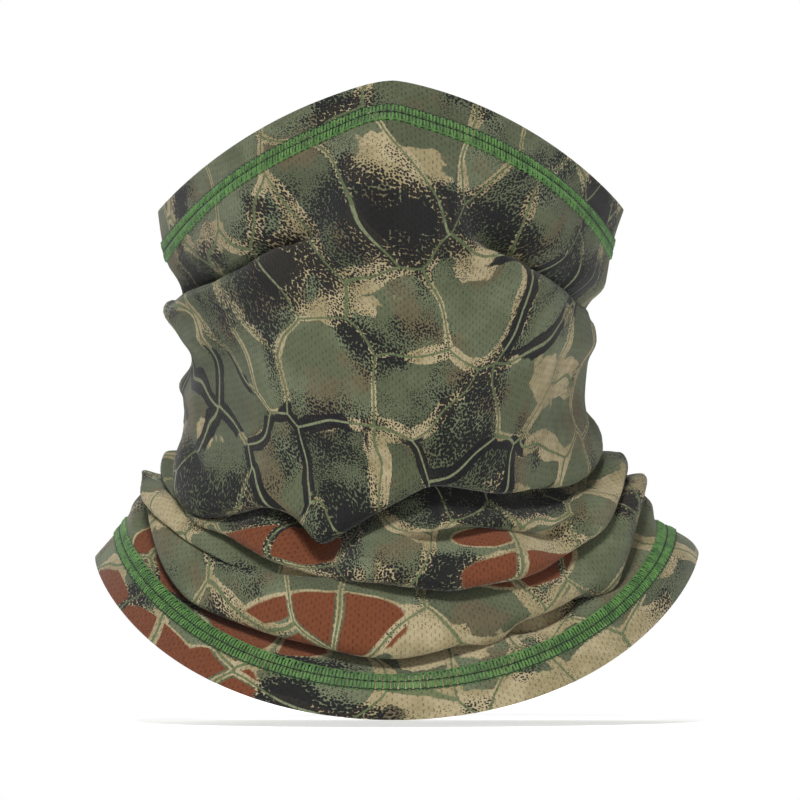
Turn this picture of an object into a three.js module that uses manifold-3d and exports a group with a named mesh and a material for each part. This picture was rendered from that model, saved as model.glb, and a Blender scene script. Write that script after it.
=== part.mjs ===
// A neck gaiter: a soft knitted tube as it sits when worn, over the nose, mouth and neck.
// The cloth is one panel, butted at the back into a tube and held there by a flat seam.
// Both ends are turned in and held by three-needle cover stitching.
// Frame: millimetres, +Z up, the face looks along -Y, and the origin is on the neck's axis
// at the tube's narrowest level.

import * as THREE from "three";
import { ParametricGeometry } from "three/addons/geometries/ParametricGeometry.js";
import { mergeVertices } from "three/addons/utils/BufferGeometryUtils.js";
import Module from "manifold-3d";

// ---- Driving dimensions ----------------------------------------------------------------

// The worn tube's outer face, as rings from the bottom edge up. Each ring is an oval round
// the neck's axis: half its width, its reach to the front and to the back, and its height
// at the front, at the sides and at the back. A point below 2 draws its front to a point, and
// a bow below 1 makes its front rounder.
const BOTTOM_EDGE = {
  halfWidth: 99, front: 110, back: 86, frontZ: -113.5, sideZ: -62, backZ: -96, bow: 0.85,
};
const SHOULDER = { halfWidth: 86, front: 98, back: 76, frontZ: -88, sideZ: -46, backZ: -74 };
const COLLAR = { halfWidth: 70, front: 89, back: 66, frontZ: -36, sideZ: -18, backZ: -30 };
const NECK = { halfWidth: 66, front: 94, back: 63, frontZ: -3, sideZ: 1, backZ: -8 };
const MOUTH = { halfWidth: 68, front: 98, back: 67, frontZ: 26, sideZ: 15, backZ: 5 };
const NOSE = { halfWidth: 72, front: 107, back: 78, frontZ: 58, sideZ: 32, backZ: 20, point: 1.7 };
const TOP_EDGE = { halfWidth: 77, front: 88, back: 90, frontZ: 94, sideZ: 53, backZ: 42, point: 1.5 };

const CLOTH_THICKNESS = 0.8;
const PLY_GAP = 0.3; // between the panel and its turned-in hem
const SEAM_GAP = 0.4; // between the panel's two edges, butted at the back

const ROLL_COUNT = 4; // gathered rolls below the chin
const ROLL_RELIEF = 4.5; // height of a roll over the crease beside it
const CREASE_SOFTNESS = 0.15; // rounds the bottom of a crease

const HEM_DEPTH = 17; // width of the turned-in hem, which ends under the band's inner line
const HEM_BAND_WIDTH = 6; // between the outer two needle lines of a hem
const HEM_NEEDLES = 3;

const SEAM_BAND_WIDTH = 5; // between the outer two needle lines of the back seam
const SEAM_NEEDLES = 4;

const THREAD_SIZE = 0.4; // a needle thread's width and height
const COVER_THICKNESS = 0.3; // the cover and looper threads, as flat bands
const THREAD_GAP = 0.35; // between a thread and what it lies on

// How finely the solids are divided.
const TURN_STEPS = 40; // round the tube
const BODY_STEPS = 30; // up the panel between its hems
const FOLD_STEPS = 3; // round the outside of a hem's fold

// ---- Places that follow from the sizes -------------------------------------------------

const RINGS = [BOTTOM_EDGE, SHOULDER, COLLAR, NECK, MOUTH, NOSE, TOP_EDGE];
const ROLLS_BOTTOM = RINGS.indexOf(SHOULDER) - 0.35; // in ring numbers along the tube
const ROLLS_TOP = RINGS.indexOf(NECK) - 0.35;

const FOLD_RADIUS = CLOTH_THICKNESS + PLY_GAP / 2;
const HEM_BAND_EDGE = HEM_DEPTH - HEM_BAND_WIDTH; // from the tube's end to the band

const SEAM_INSET = HEM_DEPTH + THREAD_SIZE + THREAD_GAP; // from the tube's end to the back seam's threads

const COVER_LIFT = THREAD_GAP; // heights over the cloth's outer face
const NEEDLE_LIFT = COVER_LIFT + COVER_THICKNESS + THREAD_GAP;
const HEM_LOOPER_LIFT = -2 * FOLD_RADIUS - THREAD_GAP - COVER_THICKNESS;
const SEAM_LOOPER_LIFT = -CLOTH_THICKNESS - THREAD_GAP - COVER_THICKNESS;

const clothMaterial = new THREE.MeshStandardMaterial({ color: 0x68724f, roughness: 0.95, metalness: 0 });
const threadMaterial = new THREE.MeshStandardMaterial({ color: 0x55a046, roughness: 0.7, metalness: 0 });

// ---- The worn tube's surface -----------------------------------------------------------

/** Distance from the neck's axis to an oval ring, in the direction of an angle from the front. */
function ringRadius(ring, angle) {
  const reach = Math.cos(angle) > 0 ? ring.front : ring.back;
  return 1 / Math.hypot(Math.sin(angle) / ring.halfWidth, Math.cos(angle) / reach);
}

/** Height of a ring at an angle from the front: level at the sides, dipping or rising to front and back. */
function ringHeight(ring, angle) {
  const { point = 2, bow = 1 } = ring;
  if (Math.cos(angle) <= 0) return ring.sideZ + (ring.backZ - ring.sideZ) * Math.cos(angle) ** 2;
  const share = (1 - Math.abs(Math.sin(angle)) ** point) ** bow;
  return ring.sideZ + (ring.frontZ - ring.sideZ) * share;
}

/** How far the gathered rolls stand out at a place along the tube, given in ring numbers. */
function rollRelief(place) {
  const share = (place - ROLLS_BOTTOM) / (ROLLS_TOP - ROLLS_BOTTOM);
  if (share <= 0 || share >= 1) return 0;
  const arch = Math.hypot(Math.sin(Math.PI * ROLL_COUNT * share), CREASE_SOFTNESS) - CREASE_SOFTNESS;
  return ROLL_RELIEF * arch;
}

/** The tube's outer line at an angle from the front, from the bottom edge up to the top edge. */
class Meridian {
  constructor(angle) {
    this.direction = new THREE.Vector2(Math.sin(angle), -Math.cos(angle));
    this.curve = new THREE.SplineCurve(
      RINGS.map((ring) => new THREE.Vector2(ringRadius(ring, angle), ringHeight(ring, angle))),
    );
    this.length = this.curve.getLength();
  }

  /** The point a distance along the line and a lift over the cloth's outer face. */
  point(along, lift) {
    const share = THREE.MathUtils.clamp(along / this.length, 0, 1);
    const place = this.curve.getUtoTmapping(share) * (RINGS.length - 1);
    const flat = this.curve.getPointAt(share);
    const tangent = this.curve.getTangentAt(share);
    const height = lift + rollRelief(place);
    const radius = flat.x + tangent.y * height;
    return new THREE.Vector3(
      this.direction.x * radius,
      this.direction.y * radius,
      flat.y - tangent.x * height,
    );
  }
}

const meridians = Array.from(
  { length: TURN_STEPS },
  (_, step) => new Meridian((2 * Math.PI * step) / TURN_STEPS),
);

/** Distance along a meridian to one of the even steps between the two hems. */
function bodyStation(length, step) {
  return HEM_DEPTH + ((length - 2 * HEM_DEPTH) * step) / BODY_STEPS;
}

// ---- Solids that go round the tube -----------------------------------------------------

/** A closed ring: section(length) gives the corners, as distance along a meridian and lift. */
function sweptRing(section) {
  const loops = meridians.map((meridian) =>
    section(meridian.length).map(([along, lift]) => meridian.point(along, lift)),
  );
  const corners = loops[0].length;
  const place = (u, v, target) => {
    const loop = loops[Math.round(u * TURN_STEPS) % TURN_STEPS];
    target.copy(loop[Math.round(v * corners) % corners]);
  };
  return new ParametricGeometry(place, TURN_STEPS, corners);
}

/** Distances from a tube's end to the places where the hem's plies have corners. */
function hemStations() {
  const bandMiddle = HEM_BAND_EDGE + HEM_BAND_WIDTH / 2;
  return [FOLD_RADIUS, HEM_BAND_EDGE / 2, HEM_BAND_EDGE, bandMiddle, HEM_DEPTH];
}

/** Corners round a hem's fold at the top end, from the outer face to the inner one. */
function foldArc(length, radius, steps) {
  return Array.from({ length: steps }, (_, step) => {
    const turn = (Math.PI * (step + 1)) / (steps + 1);
    return [length - FOLD_RADIUS + radius * Math.sin(turn), -FOLD_RADIUS + radius * Math.cos(turn)];
  });
}

/** One half of the cloth's section: the top hem, from the panel's outer face round to its inner one. */
function hemHalf(length) {
  const ply = (lift, distances) => distances.map((distance) => [length - distance, lift]);
  const inward = hemStations();
  const outward = [...inward].reverse();
  return [
    ...ply(0, outward),
    ...foldArc(length, FOLD_RADIUS, FOLD_STEPS),
    ...ply(-2 * FOLD_RADIUS, inward),
    ...ply(-CLOTH_THICKNESS - PLY_GAP, outward),
    ...foldArc(length, PLY_GAP / 2, 1).reverse(),
    ...ply(-CLOTH_THICKNESS, inward),
  ];
}

/** The cloth's whole section: one sheet with both of its ends folded in. */
function clothSection(length) {
  const body = Array.from({ length: BODY_STEPS - 1 }, (_, step) => bodyStation(length, step + 1));
  const topHem = hemHalf(length);
  const bottomHem = topHem.map(([along, lift]) => [length - along, lift]).reverse();
  return [
    ...body.map((along) => [along, 0]),
    ...topHem,
    ...body.reverse().map((along) => [along, -CLOTH_THICKNESS]),
    ...bottomHem,
  ];
}

/** A flat band's section, from one distance to another and from one lift to a higher one. */
function bandSection(low, high, lift, thickness) {
  const middle = (low + high) / 2;
  return [
    [low, lift],
    [low, lift + thickness],
    [middle, lift + thickness],
    [high, lift + thickness],
    [high, lift],
    [middle, lift],
  ];
}

/** A needle thread's square section, with its low edge a distance along the meridian. */
function needleSection(low, lift) {
  const high = low + THREAD_SIZE;
  return [
    [low, lift],
    [low, lift + THREAD_SIZE],
    [high, lift + THREAD_SIZE],
    [high, lift],
  ];
}

// ---- Solids that go up the back --------------------------------------------------------

/**
 * A strip up the back of the tube between the hem bands, from one sideways place to another.
 * It bends at the same stations as the cloth, so that it follows every roll at one clearance.
 */
function backStrip(left, right, lift, thickness) {
  const strip = new THREE.BoxGeometry(right - left, thickness, BODY_STEPS, 1, 1, BODY_STEPS);
  const position = strip.getAttribute("position");
  const centre = (left + right) / 2;
  for (let i = 0; i < position.count; i += 1) {
    const across = centre + position.getX(i);
    const meridian = new Meridian(Math.PI - across / NECK.back);
    const station = bodyStation(meridian.length, position.getZ(i) + BODY_STEPS / 2);
    const along = THREE.MathUtils.clamp(station, SEAM_INSET, meridian.length - SEAM_INSET);
    const point = meridian.point(along, lift + thickness / 2 + position.getY(i));
    position.setXYZ(i, point.x, point.y, point.z);
  }
  return strip;
}

// ---- Cutting the panel's two edges apart -----------------------------------------------

const wasm = await Module();
wasm.setup();

/** A closed three.js geometry as a manifold-3d solid. */
function solidOf(geometry) {
  const bare = geometry.clone();
  bare.deleteAttribute("normal");
  bare.deleteAttribute("uv");
  const merged = mergeVertices(bare);
  return new wasm.Manifold(
    new wasm.Mesh({
      numProp: 3,
      vertProperties: merged.getAttribute("position").array,
      triVerts: merged.index.array,
    }),
  );
}

/** A manifold-3d solid as a three.js geometry. */
function geometryOf(solid) {
  const mesh = solid.getMesh();
  const geometry = new THREE.BufferGeometry();
  geometry.setAttribute("position", new THREE.BufferAttribute(mesh.vertProperties, 3));
  geometry.setIndex(new THREE.BufferAttribute(mesh.triVerts, 1));
  geometry.computeVertexNormals();
  return geometry;
}

/** The panel: a ring of cloth, open along a line at the back where its two edges butt. */
function fabricPanel() {
  const tall = 2 * (TOP_EDGE.frontZ - BOTTOM_EDGE.frontZ);
  const deep = 2 * TOP_EDGE.back;
  const gap = new THREE.BoxGeometry(SEAM_GAP, deep, tall).translate(0, deep / 2, 0);
  return geometryOf(solidOf(sweptRing(clothSection)).subtract(solidOf(gap)));
}

// ---- Assembly --------------------------------------------------------------------------

const gaiter = new THREE.Group();

/** Adds one named piece to the gaiter. */
function addPiece(name, geometry, material) {
  const piece = new THREE.Mesh(geometry, material);
  piece.name = name;
  gaiter.add(piece);
}

/** Adds the threads of a hem's cover stitching; place(length, distance) is measured from its end. */
function addHemStitching(hem, place) {
  const band = (lift) => (length) => {
    const ends = [place(length, HEM_BAND_EDGE), place(length, HEM_DEPTH)];
    return bandSection(Math.min(...ends), Math.max(...ends), lift, COVER_THICKNESS);
  };
  for (let needle = 0; needle < HEM_NEEDLES; needle += 1) {
    const distance = HEM_BAND_EDGE + (HEM_BAND_WIDTH * needle) / (HEM_NEEDLES - 1);
    const section = (length) => needleSection(place(length, distance) - THREAD_SIZE / 2, NEEDLE_LIFT);
    addPiece(`${hem}_needle_thread_${needle + 1}`, sweptRing(section), threadMaterial);
  }
  addPiece(`${hem}_cover_thread`, sweptRing(band(COVER_LIFT)), threadMaterial);
  addPiece(`${hem}_looper_thread`, sweptRing(band(HEM_LOOPER_LIFT)), threadMaterial);
}

/** Adds the threads of the flat seam that joins the panel's two edges at the back. */
function addBackSeam() {
  const half = SEAM_BAND_WIDTH / 2;
  for (let needle = 0; needle < SEAM_NEEDLES; needle += 1) {
    const centre = -half + (SEAM_BAND_WIDTH * needle) / (SEAM_NEEDLES - 1);
    const left = centre - THREAD_SIZE / 2;
    const strip = backStrip(left, left + THREAD_SIZE, NEEDLE_LIFT, THREAD_SIZE);
    addPiece(`back_seam_needle_thread_${needle + 1}`, strip, threadMaterial);
  }
  const band = (lift) => backStrip(-half, half, lift, COVER_THICKNESS);
  addPiece("back_seam_cover_thread", band(COVER_LIFT), threadMaterial);
  addPiece("back_seam_looper_thread", band(SEAM_LOOPER_LIFT), threadMaterial);
}

addPiece("fabric_panel", fabricPanel(), clothMaterial);
addHemStitching("top_hem", (length, distance) => length - distance);
addHemStitching("bottom_hem", (length, distance) => distance);
addBackSeam();

export default gaiter;
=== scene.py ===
"""A neck gaiter as it sits when worn: a printed mesh-knit tube, its two hems and its back seam.

The cloth is one sheet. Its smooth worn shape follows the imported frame, its creases and rolls are
laid over that shape, and its ends are folded in. Every stitch is real thread on the cloth.
"""

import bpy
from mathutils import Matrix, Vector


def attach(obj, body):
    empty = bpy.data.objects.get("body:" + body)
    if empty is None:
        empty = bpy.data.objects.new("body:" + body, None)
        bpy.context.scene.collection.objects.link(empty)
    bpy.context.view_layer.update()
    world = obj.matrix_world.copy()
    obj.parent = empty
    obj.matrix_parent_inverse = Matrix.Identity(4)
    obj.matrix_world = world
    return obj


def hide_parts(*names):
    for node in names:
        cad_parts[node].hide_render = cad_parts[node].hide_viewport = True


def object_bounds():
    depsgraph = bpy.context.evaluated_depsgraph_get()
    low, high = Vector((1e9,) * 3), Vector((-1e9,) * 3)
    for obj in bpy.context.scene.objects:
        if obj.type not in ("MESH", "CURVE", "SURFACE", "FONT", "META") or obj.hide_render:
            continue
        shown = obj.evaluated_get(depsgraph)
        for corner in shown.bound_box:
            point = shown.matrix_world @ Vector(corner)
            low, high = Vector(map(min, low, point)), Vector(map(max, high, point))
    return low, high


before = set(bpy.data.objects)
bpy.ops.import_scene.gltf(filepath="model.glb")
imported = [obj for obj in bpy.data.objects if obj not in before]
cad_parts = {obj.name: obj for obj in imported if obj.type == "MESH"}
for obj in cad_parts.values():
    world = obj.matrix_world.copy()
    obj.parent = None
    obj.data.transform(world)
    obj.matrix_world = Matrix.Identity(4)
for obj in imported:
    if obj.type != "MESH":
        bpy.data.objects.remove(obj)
CAD_BOX = [list(corner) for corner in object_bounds()]

import logging
import math
from dataclasses import dataclass, field
from enum import Enum

import bmesh
import bpy
import numpy as np
from mathutils import Vector

Array = np.ndarray
MM = 0.001
TAU = 2.0 * math.pi
LOG = logging.getLogger("neck_gaiter")

FRONT_LENGTH = 0.2185  # of the smooth tube's upright line at the front, in metres
BAND_DISTANCE = 14.0 * MM  # from the tube's end to the middle of a hem's band
BAND_WIDTH = 6.0 * MM
BAND_NEEDLES = 3
SEAM_INSET = 18.0 * MM  # from the tube's end to the back seam's first stitch
SEAM_WIDTH = 5.0 * MM
SEAM_NEEDLES = 4


# ---------------------------------------------------------------------------------------------
# Meshes
# ---------------------------------------------------------------------------------------------


def mesh_object(name: str, points: Array, faces: Array) -> bpy.types.Object:
    """Make a smooth-shaded object from arrays.

    Args:
        name: The object's name.
        points: Vertex places, one row each, in metres.
        faces: Vertex numbers of each four-sided face, one row each.

    Returns:
        The new object, at the origin.
    """
    mesh = bpy.data.meshes.new(name)
    mesh.vertices.add(len(points))
    mesh.vertices.foreach_set("co", points.astype(np.float32).ravel())
    mesh.loops.add(faces.size)
    mesh.loops.foreach_set("vertex_index", faces.astype(np.int32).ravel())
    mesh.polygons.add(len(faces))
    mesh.polygons.foreach_set("loop_start", np.arange(0, faces.size, faces.shape[1], dtype=np.int32))
    mesh.update(calc_edges=True)
    mesh.shade_smooth()
    item = bpy.data.objects.new(name, mesh)
    bpy.context.scene.collection.objects.link(item)
    return item


def grid_faces(rows: int, columns: int, wrap_rows: bool, wrap_columns: bool) -> Array:
    """Number the four-sided faces of a grid of points, row by row.

    Args:
        rows: Rows of points.
        columns: Points in each row.
        wrap_rows: Whether the last row joins the first.
        wrap_columns: Whether the last column joins the first.

    Returns:
        Corner numbers, one face a row, turned so that rows cross columns is outward.
    """
    row = np.arange(rows if wrap_rows else rows - 1)[:, None]
    column = np.arange(columns if wrap_columns else columns - 1)[None, :]
    row_after = (row + 1) % rows
    column_after = (column + 1) % columns
    corners = [
        row * columns + column,
        row * columns + column_after,
        row_after * columns + column_after,
        row_after * columns + column,
    ]
    return np.stack(np.broadcast_arrays(*corners), axis=-1).reshape(-1, 4)


def unit(vectors: Array) -> Array:
    """Scale vectors along the last axis to length one."""
    return vectors / np.maximum(np.linalg.norm(vectors, axis=-1, keepdims=True), 1e-12)


# ---------------------------------------------------------------------------------------------
# The worn tube
# ---------------------------------------------------------------------------------------------


@dataclass(frozen=True)
class Ring:
    """One oval level of the worn tube: reaches from the neck's axis, then heights, in metres.

    Attributes:
        point: Power of the sine in the front's height; below two brings it to a point.
        bow: Power of what the sine leaves; below one makes the front's height rounder.
    """

    half_width: float
    front: float
    back: float
    front_z: float
    side_z: float
    back_z: float
    point: float = 2.0
    bow: float = 1.0

    def radius(self, angle: Array) -> Array:
        """Distance from the axis: an ellipse of half_width by front, or by back behind it."""
        reach = np.where(np.cos(angle) > 0, self.front, self.back)
        return 1.0 / np.hypot(np.sin(angle) / self.half_width, np.cos(angle) / reach)

    def height(self, angle: Array) -> Array:
        """Height: side_z, moving to back_z with the square of the cosine.

        Towards front_z it moves with one less the sine's power, to the power of the bow.

        Args:
            angle: Angles from the front, in radians.

        Returns:
            Heights, in metres.
        """
        front = (1 - np.abs(np.sin(angle)) ** self.point) ** self.bow * (self.front_z - self.side_z)
        back = np.cos(angle) ** 2 * (self.back_z - self.side_z)
        return self.side_z + np.where(np.cos(angle) > 0, front, back)


@dataclass(frozen=True)
class WornTube:
    """The smooth tube that the cloth would be with no creases, bottom edge to top edge.

    A place on it is an angle from the front and a level, the share of the way up its own
    upright line, by length.
    """

    rings: tuple[Ring, ...] = (
        Ring(0.0990, 0.1100, 0.0860, -0.1135, -0.0620, -0.0960, bow=0.72),
        Ring(0.0860, 0.0980, 0.0760, -0.0880, -0.0460, -0.0740),
        Ring(0.0700, 0.0890, 0.0660, -0.0360, -0.0180, -0.0300),
        Ring(0.0660, 0.0940, 0.0630, -0.0030, 0.0010, -0.0080),
        Ring(0.0680, 0.0980, 0.0670, 0.0260, 0.0150, 0.0050),
        Ring(0.0720, 0.1070, 0.0780, 0.0580, 0.0320, 0.0200, point=1.7),
        Ring(0.0770, 0.0880, 0.0900, 0.0940, 0.0530, 0.0420, point=1.5),
    )
    fine_levels: int = 400
    fine_angles: int = 720

    def spline_weights(self, place: Array) -> Array:
        """Weights of the rings at places counted in rings, on the cubic through all of them.

        Each piece between two rings is the cubic whose slope at a ring is half the step
        between its neighbours. Past the ends, the neighbour is the end ring's mirror image.

        Args:
            place: Places up the tube, from 0 at the first ring.

        Returns:
            A row for each place, with a weight for each ring.
        """
        count = len(self.rings)
        piece = np.clip(np.floor(place).astype(int), 0, count - 2)
        t = place - piece
        pulls = [
            (-(t**3) + 2 * t**2 - t) / 2,
            (3 * t**3 - 5 * t**2 + 2) / 2,
            (-3 * t**3 + 4 * t**2 + t) / 2,
            (t**3 - t**2) / 2,
        ]
        weights = np.zeros((len(place), count + 2))
        lines = np.arange(len(place))
        for offset, pull in enumerate(pulls):
            weights[lines, piece + offset] += pull
        weights[:, 1] += 2 * weights[:, 0]
        weights[:, 2] -= weights[:, 0]
        weights[:, -2] += 2 * weights[:, -1]
        weights[:, -3] -= weights[:, -1]
        return weights[:, 1:-1]

    def table(self) -> tuple[Array, Array, Array]:
        """Tabulate the tube on even levels and angles.

        Returns:
            Radii and heights, levels down and angles across, and the length of each upright line.
        """
        angle = np.linspace(-math.pi, math.pi, self.fine_angles + 1)
        weights = self.spline_weights(np.linspace(0, len(self.rings) - 1, self.fine_levels + 1))
        radius = weights @ np.array([ring.radius(angle) for ring in self.rings])
        height = weights @ np.array([ring.height(angle) for ring in self.rings])
        steps = np.hypot(np.diff(radius, axis=0), np.diff(height, axis=0))
        travelled = np.vstack([np.zeros(len(angle)), np.cumsum(steps, axis=0)])
        length = travelled[-1]
        wanted = np.linspace(0, 1, self.fine_levels + 1)[:, None] * length
        radii, heights = np.empty_like(radius), np.empty_like(height)
        for line in range(len(angle)):
            radii[:, line] = np.interp(wanted[:, line], travelled[:, line], radius[:, line])
            heights[:, line] = np.interp(wanted[:, line], travelled[:, line], height[:, line])
        return radii, heights, length


def sample_table(table: Array, angle: Array, level: Array) -> Array:
    """Read an even table of levels by angles, in straight lines between its entries.

    Args:
        table: Values, levels from 0 to 1 down and angles all round across.
        angle: Angles from the front, in radians.
        level: Levels up the tube.

    Returns:
        The table's value at each place.
    """
    rows, columns = table.shape[0] - 1, table.shape[1] - 1
    across = np.mod(angle + math.pi, TAU) / TAU * columns
    up = np.clip(level, 0, 1) * rows
    i = np.minimum(up.astype(int), rows - 1)
    j = np.minimum(across.astype(int), columns - 1)
    s, t = up - i, across - j
    low = table[i, j] * (1 - t) + table[i, j + 1] * t
    high = table[i + 1, j] * (1 - t) + table[i + 1, j + 1] * t
    return low * (1 - s) + high * s


# ---------------------------------------------------------------------------------------------
# Creases and rolls
# ---------------------------------------------------------------------------------------------


BLUR_STEP = 0.5  # degrees
BLUR_REACH = 2.6  # degrees
SLOPE_STEP = 0.01  # radians
FRONTAL_GAIN = 1.6
FRONTAL_LEAST = 0.35  # share of a lip that is left at the sides
POCKET_GAIN = 2.3
POCKET_MOST = 0.9
LIP_GAIN = 6.75  # makes a lip's greatest height one


@dataclass(frozen=True)
class Crease:
    """A valley in the cloth that runs round the tube, with a lip of cloth over it.

    Attributes:
        name: What a maker would call it.
        angles: Where its control points are, in degrees from the front, rising.
        levels: Its level at each of them.
        depth: How far its bottom lies behind the smooth tube, in metres.
        reach: How far along the cloth it is felt on each side, in metres at the front.
        lip: How far the cloth above hangs down over it, in metres; below zero, how far the
            cloth below rises over it.
        fade: Over how many degrees it dies out at its ends. Zero for one that goes all round.
        softness: How round its bottom is, as a share of the reach.
        bulge: How far the lip stands out, in metres.
        pocket: How much of a hollow there is under the lip, from 0 to 1.
    """

    name: str
    angles: tuple[float, ...]
    levels: tuple[float, ...]
    depth: float
    reach: float
    lip: float = 0.0
    fade: float = 20.0
    softness: float = 0.06
    bulge: float = 0.0
    pocket: float = 0.0

    def level_at(self, angle: Array) -> Array:
        """Work out the crease's level, by straight lines whose corners a bell blur rounds.

        Args:
            angle: Angles from the front, in radians.

        Returns:
            The crease's level at each angle.
        """
        fine = np.arange(-540.0, 540.0 + BLUR_STEP, BLUR_STEP)
        turned = np.mod(fine + 180.0, 360.0) - 180.0
        period = None if self.fade else 360.0
        values = np.interp(turned, self.angles, self.levels, period=period)
        spread = np.arange(-16, 17) * BLUR_STEP
        kernel = np.exp(-((spread / BLUR_REACH) ** 2))
        values = np.convolve(values, kernel / kernel.sum(), mode="same")
        return np.interp(np.degrees(angle), fine, values)

    def strength_at(self, angle: Array) -> Array:
        """Fall smoothly from one along the crease to zero, over its fade at each end.

        Args:
            angle: Angles from the front, in radians.

        Returns:
            The crease's strength at each angle, from 0 to 1.
        """
        if not self.fade:
            return np.ones_like(angle)
        degrees = np.degrees(angle)
        start = np.clip((degrees - self.angles[0]) / self.fade, 0, 1)
        end = np.clip((self.angles[-1] - degrees) / self.fade, 0, 1)
        share = np.minimum(start, end)
        return share * share * (3 - 2 * share)

    def gap_at(self, angle: Array, level: Array, length: Array, radius: Array) -> Array:
        """Measure the distance to the crease along the cloth and square to the crease.

        Args:
            angle: Angles from the front, in radians.
            level: Levels up the tube.
            length: Length of the upright line at each place.
            radius: Distance from the axis at each place.

        Returns:
            Distances in metres, below zero under the crease.
        """
        rise = self.level_at(angle + SLOPE_STEP) - self.level_at(angle - SLOPE_STEP)
        slope = rise / (2 * SLOPE_STEP) * length / radius
        return (level - self.level_at(angle)) * length / np.hypot(1, slope)

    def shift(self, angle: Array, level: Array, length: Array, radius: Array) -> tuple[Array, Array, Array]:
        """Work out how the crease moves the cloth.

        With x the distance to the crease over its reach, the valley is one less the height of
        a quarter circle, which is sharp at the crease and flat at the reach. A pocket blends
        the valley's other side towards the square of a cosine. The lip is x times the square
        of one less x, which is greatest a third of the way out. It is held back towards the
        sides, and the pocket is widened there.

        Args:
            angle: Angles from the front, in radians.
            level: Levels up the tube.
            length: Length of the upright line at each place.
            radius: Distance from the axis at each place.

        Returns:
            How far the valley goes in, how far the lip stands out, and how far the cloth moves
            up along itself, in metres.
        """
        scale = np.sqrt(length / FRONT_LENGTH)
        strength = self.strength_at(angle)
        x = self.gap_at(angle, level, length, radius) / (self.reach * scale)
        off = np.clip(np.hypot(x, self.softness), 0, 1)
        valley = 1 - np.sqrt(np.clip(1 - (1 - off) ** 2, 0, 1))
        side = np.clip(x if self.lip > 0 else -x, -1, 1)
        hollow = np.cos(math.pi / 2 * side) ** 2
        frontal = np.clip(FRONTAL_GAIN * np.abs(np.cos(angle)), FRONTAL_LEAST, 1.0)
        pocket = np.minimum(self.pocket * (1 + POCKET_GAIN - POCKET_GAIN * frontal), POCKET_MOST)
        valley += np.where(side < 0, pocket * (hollow - valley), 0.0)
        inward = self.depth * scale * strength * valley
        side = np.maximum(side, 0.0)
        hang = LIP_GAIN * side * (1 - side) ** 2 * scale * strength * frontal
        return inward, self.bulge * hang, -self.lip * hang


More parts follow.
